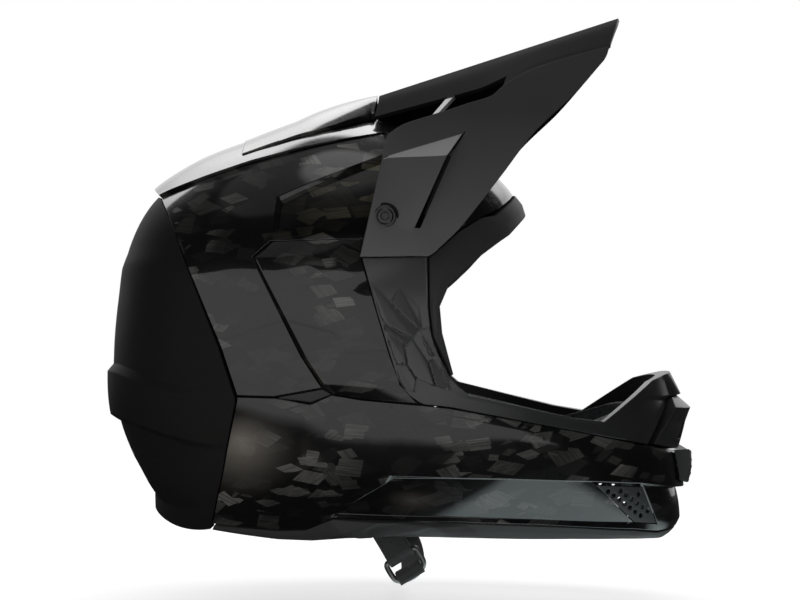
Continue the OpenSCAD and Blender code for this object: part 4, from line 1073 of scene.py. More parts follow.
# Leaves of the pillar's relief: side-view places and height, low along the top of each
LEAVES = [
    [[34.1, 8.7, 0], [46.7, -4.2, 0.2], [59.9, -16.9, 0.5], [56.6, -21.1, 1.9],
     [43.5, -14.8, 1.9], [39.7, -10.3, 1.3]],
    [[40.2, -11.2, 0.1], [43.9, -15.2, 0.3], [56.6, -21.4, 0.3], [53.4, -26.0, 1.8],
     [51.4, -22.7, 1.7], [41.6, -16.6, 1.5]],
    [[41.8, -16.7, 0.1], [51.4, -22.9, 0.2], [53.3, -35.6, 1.9], [48.1, -35.6, 1.8],
     [43.9, -24.4, 1.2]],
    [[56.6, -21.7, 0.2], [65.0, -34.7, 0.8], [68.8, -47.8, 1.9], [58.5, -43.1, 1.8],
     [53.8, -35.6, 1.2], [52.8, -26.2, 0.3]],
    [[48.0, -35.8, 0.2], [53.3, -36.0, 0.3], [58.5, -44.1, 1.2], [57.5, -51.1, 1.9],
     [52.8, -49.2, 1.8], [49.3, -43.1, 1]],
    [[60.3, -17.3, 0.2], [66.0, -15.2, 0.1], [70.2, -26.2, 0.3], [77.2, -45.9, 1.2],
     [68.8, -31.9, 1.8], [66.4, -30.9, 1.8]],
    [[49.6, 7.1, 0], [59.9, -3.7, 0.1], [62.2, -15.0, 0.3], [60.1, -16.4, 1.5], [46.9, -3.9, 1.5],
     [45.3, -0.9, 1.1]],
    [[69.2, -32.3, 0.2], [77.2, -46.4, 0.2], [78.2, -50.6, 0.3], [69.5, -47.8, 1.5],
     [66.0, -35.1, 1.2]]]


def leaf_relief(x, z):
    """Height of the pillars' overlapping leaves over side-view places."""
    height = np.zeros(np.shape(x))
    for leaf in LEAVES:
        fans = [(0, k, k + 1) for k in range(1, len(leaf) - 1)]
        height = np.maximum(height, facets(x, z, leaf, fans))
    return height


def face_frame():
    """Frame round the face: the pillars with their leaves and the chin bar's upper trim."""
    rows = []
    for i, t in enumerate(STRIPS):
        row = []
        for j, (a, b) in enumerate(zip(np.array(FRAME_INNER, float),
                                       np.array(FRAME_OUTER, float))):
            p = (1 - t) * a + t * b
            if j in NOSE_BEND:
                bend = np.array(NOSE_BEND[j])
                p = a + (bend - a) * t / NOSE_SHARE if t < NOSE_SHARE \
                    else bend + (b - bend) * (t - NOSE_SHARE) / (1 - NOSE_SHARE)
            if i < 2 and j < 4:
                lift = NOSE_RISE[i][j]
            elif i == 0:
                lift = FRAME_LIP
            else:
                lift = -NOSE_SINK if j < 2 else FRAME_RISE
            row.append([p[0], p[1], lift])
        rows.append(row)
    net = Net(rows, mid=True, counts_u=[10, 3, 16, 18],
              counts_v=[8, 4, 4, 12, 6, 10, 12, 8, 12, 18, 16, 22, 36])
    lift = net.lift + LEAF_DEPTH * leaf_relief(net.at[..., 0], net.at[..., 1])
    inner = np.minimum(net.lift, 0) - SHELL_WALL
    return grid_piece("face_frame_skin", net.surface(lift), net.surface(inner), FRAME_MATTE,
                      creases=17)


TRIM_NET = [
    [[118.8, 63.6, 0.8], [117.6, 60.8, 0.8], [104.8, 49.4, 0.5], [98.2, 48.2, 0.5],
     [84.4, 39.6, 0.5], [66.4, 24.4, 0.5], [66.8, -4.5, 0.5], [68.6, -20.2, 0.5],
     [78.9, -42.9, 0.4]],
    [[125, 58.6, 2.6], [121.6, 55.4, 2.6], [110.6, 44, 2.6], [103.4, 38.6, 2.4],
     [88.6, 28.6, 2], [73.6, 15.6, 1.4], [69.8, -4.2, 1.2], [71, -19.4, 1.2], [79.5, -42.6, 0.6]],
    [[127, 51, 2], [122.6, 47.4, 2], [113.4, 37.4, 1.6], [101, 29.4, 1.2], [88, 18, 0.8],
     [77.4, 7.4, 0.6], [72.6, -3.6, 0.4], [74, -18.6, 0.2], [80.4, -42.2, -0.4]]]


def eyeport_trim():
    """Trim along the brow and the sides of the eyeport."""
    net = Net(TRIM_NET, 2.5, mid=True, counts_v=[10, 7, 4, 6, 8, 8, 6, 8])
    return shell_piece("eyeport_trim_skin", net, TRIM_MATTE, -SHELL_WALL - 5, edge=0.8)


RIM_UPPER = [[216, -137], [203, -138], [189, -136], [150, -131.7], [128, -130], [96, -128],
             [78, -127], [50, -125.6], [12, -124.2], [-3.6, -131.2], [-20, -132], [-38, -131],
             [-57.6, -130]]
RIM_LOWER = [[207.6, -142.4], [197, -142], [180, -140.6], [150, -139], [120, -137.8],
             [92, -136.4], [70, -135.4], [46, -134.6], [20, -135.8], [0, -137.4], [-20, -137],
             [-40, -135], [-58.8, -133]]
# Corners of the rim's facets: side-view place and height, and the facets between them
RIM = {
    "a": (8.5, -134.8, 0.0), "b": (9.7, -124.6, 0.0), "c": (18.5, -132.2, 1.6),
    "d": (33.8, -129.6, 0.2), "e": (49.4, -126.2, 0.9), "f": (46.6, -133.5, 0.6),
    "g": (68.2, -127.6, 1.5), "h": (58.2, -133.9, 0.0), "i": (18.8, -123.9, 0.3),
    "j": (38.7, -125.0, 1.2), "k": (61.3, -125.8, 0.0), "l": (88, -128.4, 0.0),
    "m": (80, -134.6, 0.9), "n": (100, -136, 0.0), "o": (30, -135.4, 0.4)}
RIM_FACETS = ["abc", "bic", "icj", "cjd", "jde", "deo", "dco", "aco", "oef", "ekg", "egf", "fgh",
              "gkl", "ghm", "glm", "lmn", "jek"]
RIM_DEPTH = 2.2


def lower_rim():
    """Rim under the shells, a little fuller in its middle and drawn out at the front."""
    rows = [[[*((1 - t) * np.array(a) + t * np.array(b)), 0.4 if t == 0.5 else 0]
             for a, b in zip(RIM_UPPER, RIM_LOWER)] for t in (0, 0.5, 1)]
    for i in range(3):
        rows[i][0][2] += 5 - 2 * i
        rows[i][1][2] += 1.6 - 0.8 * i
    net = Net(rows, mid=True, counts_u=[6, 6],
              counts_v=[6, 4, 12, 8, 12, 16, 24, 34, 16, 12, 8, 6])
    relief = facets(net.at[..., 0], net.at[..., 1], RIM, RIM_FACETS)
    return grid_piece("lower_rim_skin", net.surface(net.lift + RIM_DEPTH * relief),
                      net.surface(-SHELL_WALL), TRIM_MATTE, creases=16)


# Front grille, nose vent and chin mesh

GRILLE_TOP = -22.9
GRILLE_BOTTOM = -26.7
GRILLE_WIDTH = 58.0
GRILLE_SLOTS = 4
SLOT_HEIGHT = 2.2
# Rise of its top edge, how much less it is at the bottom, and how much more at the sides
GRILLE_RISE = 8.0
GRILLE_FALL = 2.4
GRILLE_HORNS = 2.6
GRILLE_BACK = 1.2


def front_grille():
    """Block on the chin's front, with its slots right through."""
    span = GRILLE_BOTTOM - GRILLE_TOP
    half_slot = math.degrees(SLOT_HEIGHT / 2 / float(profile_radius(GRILLE_TOP)))
    levels = [GRILLE_TOP]
    for k in range(GRILLE_SLOTS):
        c = GRILLE_TOP + span * (k + 0.8) / (GRILLE_SLOTS + 0.6)
        levels += [c + half_slot, c - half_slot]
    levels.append(GRILLE_BOTTOM)
    angle = np.array(levels)[:, None]
    share = np.array([-1, -0.92, -0.84, -0.7, -0.56, -0.42, -0.28, -0.14, 0, 0.14, 0.28, 0.42,
                      0.56, 0.7, 0.84, 0.92, 1])[None, :]
    y = GRILLE_WIDTH / 2 * share
    part = (angle - GRILLE_TOP) / span
    outer = on_spoke(angle, y,
                     GRILLE_RISE - GRILLE_FALL * part ** 3 + GRILLE_HORNS * share ** 2)
    inner = on_spoke(angle, y, GRILLE_BACK + (RIDGE_RISE - 0.6) * part)
    keep = np.ones((len(levels) - 1, share.shape[1] - 1), bool)
    keep[1:2 * GRILLE_SLOTS:2, 3:-3] = False
    return grid_piece("front_grille_skin", outer, inner, TRIM_MATTE, keep, edge=0.35)


# Rows of the nose vent: angle in the middle and at the side, half width, rise at both places
NOSE_ROWS = [[-15.6, -15.8, 20.5, 6.5, 4], [-17.6, -17.4, 27.4, 13, 6.5],
             [-18.3, -18.3, 30.4, 10.7, 5], [-19.2, -19.2, 34.4, 8, 3],
             [-21.2, -21.6, 43.6, 3.4, 0.8], [-22.3, -22.9, 47.2, 0.8, -0.4]]
NOSE_STOPS = [-1, -0.7, -0.5, -0.3, -0.12, 0.12, 0.3, 0.5, 0.7, 1]
NOSE_OPEN_ROW = 3
NOSE_LIP_X = 214.0


def nose_vent():
    """Wedge above the grille, with a row of openings between its posts."""
    us = places([3, 2, 3, 6, 3])
    rows = at(NOSE_ROWS, us)
    stops = np.array(NOSE_STOPS)
    share = np.array([a + (b - a) * k / 3 for a, b in zip(stops, stops[1:]) for k in range(3)]
                     + [1.0])
    f = share[None, :]
    angle = rows[:, :1] + (rows[:, 1:2] - rows[:, :1]) * f ** 2
    y = rows[:, 2:3] * f
    outer = on_spoke(angle, y, rows[:, 3:4] + (rows[:, 4:5] - rows[:, 3:4]) * f ** 2)
    inner = on_spoke(angle, y, FOAM_GAP - NOSE_SINK)
    keep = np.ones((len(us) - 1, len(share) - 1), bool)
    part = np.arange(len(share) - 1) // 3
    opened = (part % 2 == 0) & (part > 0) & (part < 8)
    keep[np.ix_(us[:-1].astype(int) == NOSE_OPEN_ROW, opened)] = False
    piece = grid_piece("nose_vent_skin", outer, inner, MATTE, keep, creases=22)
    # Painted highlight on the lip's upward, forward faces
    return refinish(piece, PAINTED_HIGHLIGHT_SATIN, lambda p, n: n.z > 0.5 and n.x > 0.3 and p.x > NOSE_LIP_X)


MESH_CORNERS = [[163, -106.8], [192.8, -109.6], [201, -131.6], [188.6, -131]]
MESH_PITCH = 5.4
MESH_ROW = 0.87 * MESH_PITCH
MESH_HOLE = 3.4
MESH_CLEAR = 0.62 * MESH_HOLE
MESH_HALF = 0.8


def hole_centres(polygon):
    """Staggered places in a plate's own plane whose holes keep clear of its edge."""
    xs, ys = zip(*polygon)
    turn = np.radians(range(0, 360, 60))
    centres = []
    for i in range(int((max(xs) - min(xs)) / MESH_PITCH) + 1):
        for j in range(int((max(ys) - min(ys)) / MESH_ROW) + 1):
            x = min(xs) + (i + (j % 2) / 2) * MESH_PITCH
            y = min(ys) + j * MESH_ROW
            if inside(x + MESH_CLEAR * np.cos(turn), y + MESH_CLEAR * np.sin(turn),
                      polygon).all():
                centres.append((x, y, 0))
    return centres


def chin_mesh():
    """Plate over the chin vent, with rows of six-sided holes cut through it."""
    corners = np.array(MESH_CORNERS)
    middle = (corners[0] + corners[2]) / 2
    seat = on_side(middle[0], middle[1], -SHELL_WALL / 2)
    face = Vector(outward(*seat))
    turn = face.to_track_quat("Z", "X").to_matrix().to_4x4()
    turn.translation = Vector(seat)
    back = turn.inverted()
    flat = [back @ Vector(on_side(x, z, -SHELL_WALL / 2)) for x, z in corners]
    work = bmesh.new()
    plate = work.faces.new([work.verts.new((p.x, p.y, MESH_HALF)) for p in flat])
    for v in pulled_out(work, [plate]):
        v.co.z = -MESH_HALF
    bmesh.ops.recalc_face_normals(work, faces=work.faces)
    piece = placed("chin_mesh", drawn(work, "mesh plate"))
    holes = bpy.data.meshes.new("mesh holes")
    holes.from_pydata(hole_centres([(p.x, p.y) for p in flat]), [], [])
    cutter = through_nodes(placed("mesh holes", holes), HOLES, MATTE, Hole_Width=MESH_HOLE,
                           Depth=6.0)
    cut = piece.modifiers.new("holes", "BOOLEAN")
    cut.object = cutter
    cut.operation = "DIFFERENCE"
    cut.solver = "EXACT"
    apply_modifiers(piece)
    bpy.data.objects.remove(cutter)
    piece.data.transform(Matrix.Scale(MM, 4) @ turn)
    piece.data.materials.clear()
    piece.data.materials.append(MATTE)
    round_edges(piece, 0.25)
    return piece


# Foam liners

EAR_EDGE = 0.93
LINER_ARC = (31, 229)
CHIN_FOAM = 15.0


def head_liner():
    """Foam over the head, from the brow round to the neck."""
    angle = np.linspace(*LINER_ARC, 67)[:, None]
    share = np.concatenate([np.linspace(-1, -0.9, 6), np.linspace(-0.87, 0.87, 36),
                            np.linspace(0.9, 1, 6)])[None, :]
    y = EAR_EDGE * widest(0) * share
    outer = on_spoke(angle, y, LINER_OUT)
    inner = on_spoke(angle, y, LINER_IN)
    return grid_piece("head_liner_skin", outer, inner, FOAM, edge=2.0)


def chin_liner_net():
    """Rows of the chin bar's foam, which stays clear of vent and recess."""
    a, b, c = LINER_OUT, -NOSE_SINK - SHELL_WALL - FOAM_GAP - 0.5, LINER_OUT - RECESS
    return [
        [[206, -56, b], [192, -62, b], [160, -74, a], [116, -65, a], [74.5, -56, a]],
        [[208, -92, b], [190, -91, b], [158, -90, a], [112, -88, a], [74, -86, a]],
        [[209, -104, a], [188, -104, a], [154, -103, a], [108, -100, a], [76, -98, a]],
        [[211, -110, c], [191, -110, c], [160, -108, c], [110, -106, c], [76, -104, c]],
        [[212, -132, c], [203, -132.4, c], [183, -130.6, c], [116, -126, c], [74, -124, c]]]


def chin_liner():
    """Foam inside the chin bar, open behind its mesh plates."""
    net = Net(chin_liner_net(), 4.0, mid=True)
    return shell_piece("chin_liner_skin", net, FOAM, LINER_OUT - CHIN_FOAM,
                       keep=net.keep(chin_vent), edge=1.6)


def jaw_liner():
    """Foam inside the jaw, flat where the cheek pad lies on it."""
    a, b = LINER_OUT, LINER_OUT - RECESS
    net = Net([
        [[-36, -14, a], [-6, -14, a], [30, -14, a], [63, -14, a]],
        [[-32, -40, a], [-4, -40, a], [34, -40, a], [67, -40, a]],
        [[-46, -62, a], [-8, -62, a], [34, -62, a], [71, -62, a]],
        [[-46, -94, a], [-8, -94, a], [34, -93, a], [69, -93, a]],
        [[-47, -101, a], [-8, -101, b], [34, -100, b], [69, -100, b]],
        [[-50, -124, a], [-8, -126, b], [34, -121, b], [69, -121, b]]], 5.0)
    outer = net.surface()
    inner = outer.copy()
    inner[..., 1] = np.minimum(JAW_INNER_Y, outer[..., 1] - 3)
    return grid_piece("jaw_liner", outer, inner, FOAM, edge=0.8)


# Pads: shaped by displacement, so that crowns, drawn-in sides and channels come out alike

PAD_EDGE = 2.5
HEAD_RADIUS = 95.0
PAD_CELL = 2.2
STITCH_SINK = 0.2
# Each wrapped pad: its first and last angle, half width, thickness and number of channels
PADS = (("crown_pad", 62, 150, 46, 9, 3), ("brow_pad", 34, 54, 76, 9, 6),
        ("neck_roll", 190, 224, 66, 15, 4))


def swell(u, v, channels):
    """Share of a pad's full thickness over its length and width."""
    crown = (1 - np.abs(2 * u - 1) ** 4) * (1 - np.abs(2 * v - 1) ** 4)
    return crown * (0.72 + 0.28 * np.abs(np.sin(np.pi * channels * v)) ** 0.6)


def wrap_pad(name, first, last, half_y, thick, channels):
    """Pad inside the head liner, rolled in at its edges."""
    rows = int(abs(last - first) / 360 * 2 * math.pi * HEAD_RADIUS / PAD_CELL)
    cols = int(2 * half_y / PAD_CELL)
    u = np.linspace(0, 1, rows + 1)[:, None]
    v = np.linspace(0, 1, cols + 1)[None, :]
    back = LINER_IN - FOAM_GAP
    angle, y = first + (last - first) * u, half_y * (2 * v - 1)
    rolled = np.minimum(1, np.minimum(np.minimum(u, 1 - u) * rows, np.minimum(v, 1 - v) * cols)
                        / 3)
    lift = back - PAD_EDGE - (thick - PAD_EDGE) * swell(u, v, channels) * rolled ** 0.5
    return grid_piece(name, on_spoke(angle, y, back), on_spoke(angle, y, lift), CLOTH, edge=1.2)


def channel_paths(first, last, half_y, thick, channels):
    """Where the stitches of a wrapped pad run: down the middle of its sewn channels."""
    u = np.linspace(0.07, 0.93, 40)
    seam = LINER_IN - FOAM_GAP - PAD_EDGE - STITCH_SINK
    paths = []
    for k in range(1, channels):
        v = k / channels
        lift = seam - (thick - PAD_EDGE) * swell(u, v, channels)
        paths.append(on_spoke(first + (last - first) * u, half_y * (2 * v - 1), lift))
    return paths


CHEEK_NET = [
    [[-30, -20, 0], [-4, -17, 0], [30, -17, 0], [57, -20, 0]],
    [[-34, -58, 0], [-6, -58, 0], [34, -58, 0], [66, -58, 0]],
    [[-33, -92, 0], [-6, -92, 0], [34, -92, 0], [65, -92, 0]],
    [[-26, -113, 0], [-4, -119, 0], [34, -119, 0], [63, -116, 0]]]
STRAP_X = 28.0
STRAP_Z = -110.0
PLATE_Y = 80.0
FACE_HALF = 53.0
CHEEK_SIDE = 17.0
# Hollow in the cheek pad's back: depth past the plate, half width, place before the rivet,
# height over it and how softly it starts
HOLLOW_DEPTH = 4.0
HOLLOW_HALF = 26.0
HOLLOW_AHEAD = 6.0
HOLLOW_TOP = 21.0
HOLLOW_SLOPE = 5.0


def cheek_face(u, v):
    """Distance of a cheek pad's face from the mid-plane."""
    edge_y = JAW_INNER_Y - CHEEK_SIDE
    return edge_y - (edge_y - FACE_HALF) * swell(u, v, 2)


def cheek_paths(side):
    """Stitches round a cheek pad and down its channel."""
    far, turn = 0.4, np.linspace(0, 2 * math.pi, 97)
    ring = [0.5 + far * np.sign(f(turn)) * np.abs(f(turn)) ** 0.45 for f in (np.cos, np.sin)]
    line = [np.linspace(0.13, 0.87, 40), np.full(40, 0.5)]
    paths = []
    for us, vs in (ring, line):
        spots = [at(at(CHEEK_NET, 3 * u), 3 * v) for u, v in zip(us, vs)]
        paths.append([(s[0], side * (cheek_face(u, v) - 0.15), s[1])
                      for s, u, v in zip(spots, us, vs)])
    return paths


def cheek_pad():
    """Pad between jaw and face, with room in its back for the strap's plate."""
    net = Net(CHEEK_NET)
    x, z = net.at[..., 0], net.at[..., 1]
    u = (net.us / net.us[-1])[:, None]
    v = (net.vs / net.vs[-1])[None, :]
    hollow = ease((HOLLOW_HALF - np.abs(x - STRAP_X - HOLLOW_AHEAD)) / HOLLOW_SLOPE) \
        * ease((STRAP_Z + HOLLOW_TOP - z) / HOLLOW_SLOPE)
    back = JAW_INNER_Y - FIT_GAP - (JAW_INNER_Y - PLATE_Y + HOLLOW_DEPTH) * hollow
    front = cheek_face(u, v)
    outer = np.stack([x, back, z], -1)
    inner = np.stack([x, front, z], -1)
    return grid_piece("cheek_pad", outer, inner, CLOTH, edge=1.6)


# Visor

PIVOT_X = 41.6
PIVOT_Z = 47.0
VISOR_TILT = 15.0
VISOR_WALL = 2.4
ARM_SPACE = 2.0
VISOR_LENGTH = 146.0
VISOR_CLIMB = 0.325
VISOR_REAR = (37.2, 124.4)
VISOR_STATIONS = [0, 0.07, 0.19, 0.25, 0.33, 0.45, 0.58, 0.7, 0.85, 1]
# Cells across the visor from its crest down, by column
VISOR_CELLS = [7, 7, 8, 6, 2, 12, 6]
# Points [x, y, z] at each station, from the blade's edge down the arm
VISOR_COLUMNS = np.array([
    [[34.7, 46, 108], [42.6, 99, 93.8], [39.8, 104.6, 80], [39.6, 105, 79], [31.6, 115, 40.4],
     [28, 119.4, 24.4]],
    [[46, 48, 111], [50.9, 96, 99.7], [43.4, 103.4, 81.4], [43.2, 105, 80.2], [41, 112.3, 40.6],
     [40, 116.1, 24.6]],
    [[77.5, 53, 119], [68.3, 90.7, 105.8], [85.8, 88.2, 95.2], [76.8, 105, 81.8],
     [58.4, 109.5, 40.6], [58, 111.1, 25]],
    [[82, 54, 120], [72.2, 89.3, 107.1], [87.4, 87.5, 96.2], [81, 91.6, 85.6],
     [61.4, 106.8, 40.6], [62, 110, 25]],
    [[90, 56, 122.2], [89, 83.4, 113.1], [91, 86.2, 98], [86, 89.5, 89], [64, 106.1, 40.6],
     [66, 108.9, 25]],
    [[98, 58, 124.4], [102.4, 78.6, 117.8], [104, 80.7, 107], [101, 84.3, 94], [88, 96.6, 54],
     [80, 102.6, 36.5]],
    [[112, 64, 130.4], [109.2, 75.6, 123.6], [113, 76.5, 115], [115, 78.1, 105], [110, 84.9, 80],
     [106, 88.5, 68.5]],
    [[125, 63.5, 136], [125.4, 68, 133.6], [126.2, 70, 128], [127, 71.8, 119], [127.3, 75, 104],
     [127.4, 76.6, 96.4]],
    [[150, 58, 144.2], [150.4, 60, 142.6], [151, 61.1, 138], [151, 62.4, 132],
     [151.2, 64.1, 124], [151.2, 65.1, 119.4]],
    [[173.6, 51, 150.5], [173.2, 52.4, 149.4], [172.4, 53.4, 146.5], [171.6, 54.2, 144],
     [170.6, 54.9, 142], [169.6, 55.5, 140.4]]], float)
# The blade's shoulder between crest and edge, and where the arm starts to clear the shell
SHOULDER_SHARE = 0.55
SHOULDER_AHEAD = 1.0
SHOULDER_RISE = 3.2
ARM_FROM_Y = 74.0
# Side-view places of the painted shade and highlights: shade on the blade's underside and in the
# slot, highlights on the strut and the lit facet
UNDERSIDE_Z = 96
SLOT_BOX = ((54, 94), (38, 99))
STRUT_X = (67, 84)
STRUT_Y = (56, 89)
STRUT_TOP_Z = 118.6
FACET_Y = 84
BEVEL_EDGE = [[39, 79.4], [86.5, 97], [77, 81]]


def turned(x, z, degrees):
    """Side-view places turned about the visor's pivot."""
    c, s = math.cos(math.radians(degrees)), math.sin(math.radians(degrees))
    dx, dz = x - PIVOT_X, z - PIVOT_Z
    return PIVOT_X + dx * c + dz * s, PIVOT_Z - dx * s + dz * c


def swept_width(x, z):
    """Outer face of the arm over the widest shell that it passes as the visor tilts."""
    widths = [half_width(*turned(x, z, VISOR_TILT * k / 3)) for k in range(4)]
    return np.max(widths, axis=0) + ARM_SPACE + VISOR_WALL


def monotone(points, us):
    """Smooth curve through points that never overshoots between two of them."""
    points = np.asarray(points, float)
    step = np.diff(points, axis=0)
    slope = np.zeros_like(points)
    same = step[:-1] * step[1:] > 0
    slope[1:-1] = np.where(same, 2 * step[:-1] * step[1:]
                           / np.where(same, step[:-1] + step[1:], 1), 0)
    slope[0], slope[-1] = step[0], step[-1]
    i = np.minimum(us.astype(int), len(points) - 2)
    t = (us - i).reshape(-1, *([1] * (points.ndim - 1)))
    a, b, m, n = points[i], points[i + 1], slope[i], slope[i + 1]
    return ((1 + 2 * t) * (1 - t) ** 2 * a + t * (1 - t) ** 2 * m
            + t * t * (3 - 2 * t) * b + t * t * (t - 1) * n)


def visor_grid():
    """Half of the visor's outer face, its places along the blade and the column of each cell."""
    columns = VISOR_COLUMNS.copy()
    crest = np.array([[VISOR_REAR[0] + VISOR_LENGTH * t, 0,
                       VISOR_REAR[1] + VISOR_LENGTH * VISOR_CLIMB * t] for t in VISOR_STATIONS])
    first = columns[:, 0]
    shoulder = np.stack([(crest[:, 0] + first[:, 0]) / 2 + SHOULDER_AHEAD,
                         first[:, 1] * SHOULDER_SHARE,
                         (crest[:, 2] + first[:, 2]) / 2 + SHOULDER_RISE], -1)
    cage = np.concatenate([crest[:, None], shoulder[:, None], columns], axis=1)
    us = places([5, 7, 4, 5, 6, 6, 6, 8, 8])
    rows = monotone(cage, us)
    blade = monotone(np.moveaxis(rows[:, :3], 1, 0), places(VISOR_CELLS[:2]))
    vs = places(VISOR_CELLS[2:])
    side = np.moveaxis(rows[:, 2:], 1, 0)
    skirt = np.stack([at(side[:, k], vs) for k in range(side.shape[1])], axis=1)
    grid = np.concatenate([np.moveaxis(blade, 0, 1), np.moveaxis(skirt, 0, 1)[:, 1:]], axis=1)
    span = np.repeat(np.arange(len(VISOR_CELLS)), VISOR_CELLS)
    arm = np.concatenate([[-1], span])
    least = swept_width(grid[..., 0], grid[..., 2])
    clear = (arm[None, :] > 2) | ((arm[None, :] == 2) & (grid[..., 1] > ARM_FROM_Y))
    grid[..., 1] = np.where(clear, np.maximum(grid[..., 1], least), grid[..., 1])
    return grid, us, span


def grid_normals(grid):
    """Directions square to a grid of points."""
    du = np.gradient(grid, axis=0)
    dv = np.gradient(grid, axis=1)
    n = np.cross(du, dv)
    return n / np.maximum(np.linalg.norm(n, axis=-1, keepdims=True), 1e-9)


def between(value, ends):
    """True where a value lies between two ends."""
    return ends[0] < value < ends[1]


def visor_painted_shade(p, n):
    """Faces that look down or inwards, and the walls of the arm's slot: these get painted shade.
    """
    in_slot = between(p.x, SLOT_BOX[0]) and between(p.z, SLOT_BOX[1])
    return (n.z < -0.25 and p.z > UNDERSIDE_Z) or n.y * p.y < 0 or (abs(n.y) < 0.55 and in_slot)


def visor_strut(p, n):
    """Top of the strut in the opening between blade and arm, which slopes up to the front, and
    gets a painted highlight.
    """
    strut_z = (104 + 1.1 * (p.x - 70), STRUT_TOP_Z)
    return n.z > 0.2 and between(p.x, STRUT_X) and between(abs(p.y), STRUT_Y) \
        and between(p.z, strut_z)


def visor_facet(p, n):
    """Outer face of the arm inside the lit facet's edge, which gets a painted highlight."""
    return n.z > 0.3 and n.y * p.y > 0 and abs(p.y) > FACET_Y and within(p, BEVEL_EDGE)


def visor():
    """Blade and arms, open between blade and arm and in the arm's slot."""
    half, us, span = visor_grid()
    grid = both_sides(half)
    normal = grid_normals(grid)
    if normal[len(us) // 2, grid.shape[1] // 2, 2] > 0:
        normal = -normal
    station = us[:-1].astype(int)[:, None]
    column = span[None, :]
    gone = ((column == 2) & (station < 6) & (station != 2)) \
        | (((column == 4) | (column == 5)) & (station == 2))
    keep = ~np.concatenate([gone[:, ::-1], gone], axis=1)
    piece = grid_piece("visor_skin", grid, grid + VISOR_WALL * normal, VISOR_MATTE, keep,
                       creases=26, edge=0.4)
    # Painted shade on the top faces and on faces that look down or inwards; painted highlights on
    # the strut and the lit facet
    for finish, chosen in ((VISOR_TOP_PAINTED_SHADE, lambda p, n: n.z > 0.4), (PAINTED_SHADE_BLACK, visor_painted_shade),
                           (PAINTED_HIGHLIGHT_SATIN, visor_strut), (VISOR_PAINTED_HIGHLIGHT, visor_facet)):
        refinish(piece, finish, chosen)
    return piece


WASHER_D = 12.6
WASHER_T = 1.4
SCREW_D = 6.0
HEAD_D = 9.4
HEAD_H = 2.2
HEX = 4.0
BOSS_RISE = 1.0
SCREW_DEPTH = 8.0


def lathe(name, outline, centre, finish, sides=64):
    """Turned piece about an axis along Y; outline is [radius, distance along the axis]."""
    points = []
    for k in range(sides):
        a = 2 * math.pi * k / sides
        points += [(centre[0] + r * math.cos(a), centre[1] + d, centre[2] + r * math.sin(a))
                   for r, d in outline]
    return new_piece(name, points, belt(sides, len(outline)), finish, 30)


def pivot_parts():
    """Washer, boss and screw of the left pivot."""
    shell_y = float(half_width(np.array(PIVOT_X), np.array(PIVOT_Z)))
    seat = shell_y + ARM_SPACE + VISOR_WALL + BOSS_RISE
    centre = (PIVOT_X, 0, PIVOT_Z)
    bore = SCREW_D / 2 + FIT_GAP
    w = WASHER_D / 2
    y = seat + FIT_GAP
    washer = lathe("washer", [(bore, y), (w - 0.3, y), (w, y + 0.3), (w, y + WASHER_T - 0.5),
                              (w - 0.5, y + WASHER_T), (bore + 0.2, y + WASHER_T)], centre,
                   DARK_STEEL)
    foot = seat - VISOR_WALL - BOSS_RISE
    boss = lathe("boss", [(bore, foot), (w + 1.5, foot), (w + 1.5, seat - 0.4), (w + 1.1, seat),
                          (bore, seat)], centre, REAR_MATTE)
    head = seat + WASHER_T + 2 * FIT_GAP
    h, s, inner = HEAD_D / 2, HEX / 2, shell_y - SCREW_DEPTH
    r, face = SCREW_D / 2, head + HEAD_H
    screw = lathe("screw", [(TURNED_TIP, inner), (r - 0.4, inner), (r, inner + 0.5), (r, head),
                            (h - 0.2, head), (h, head + 0.3), (h, face - 0.8),
                            (h - 0.7, face - 0.1), (s + 0.5, face), (s + 0.1, face - 0.3),
                            (s, head + 0.8), (TURNED_TIP, head + 0.8)], centre, DARK_STEEL, 48)
    return washer, boss, screw


# Chin strap: drawn hanging straight from its rivets, then leaned forward

STRAP_LEAN = 31.0
STRAP_W = 16.0
STRAP_T = 2.0
PLATE_T = 1.5
RIVET_D = 6.0
RING_WIRE = 3.0
RING_BAR_Z = -43.0
STRAP_Y = PLATE_Y + PLATE_T / 2
WEB_STEP = 1.2
# Where the long strap comes through the rings, how far its loose end stands off and reaches
THROUGH_Z = RING_BAR_Z - 7.4
TAIL_OUT = 7.0
TAIL_DOWN = 7.0


def lean(points):
    """From the upright drawing of the strap to its place."""
    points = np.asarray(points, float)
    c, s = math.cos(math.radians(STRAP_LEAN)), math.sin(math.radians(STRAP_LEAN))
    x, y, z = points[..., 0], points[..., 1], points[..., 2]
    return np.stack([STRAP_X + x * c - z * s, y, STRAP_Z + x * s + z * c], -1)


def cut_corners(points, rounds, closed=False):
    """A path whose corners are cut again and again, which rounds them."""
    path = [np.array(p, float) for p in points]
    for _ in range(rounds):
        after = path[1:] + path[:1] if closed else path[1:]
        cut = [q for a, b in zip(path, after)
               for q in (0.75 * a + 0.25 * b, 0.25 * a + 0.75 * b)]
        path = cut if closed else path[:1] + cut + path[-1:]
    return path


def smooth_path(points):
    """Points along a path, evenly close together, and how far along it each lies."""
    path = cut_corners(points, 2)
    steps = [np.linalg.norm(b - a) for a, b in zip(path, path[1:])]
    lengths = np.concatenate([[0], np.cumsum(steps)])
    along = np.linspace(0, lengths[-1], max(2, int(lengths[-1] / WEB_STEP)))
    path = np.array(path)
    return np.stack([np.interp(along, lengths, path[:, k]) for k in range(2)], -1), along


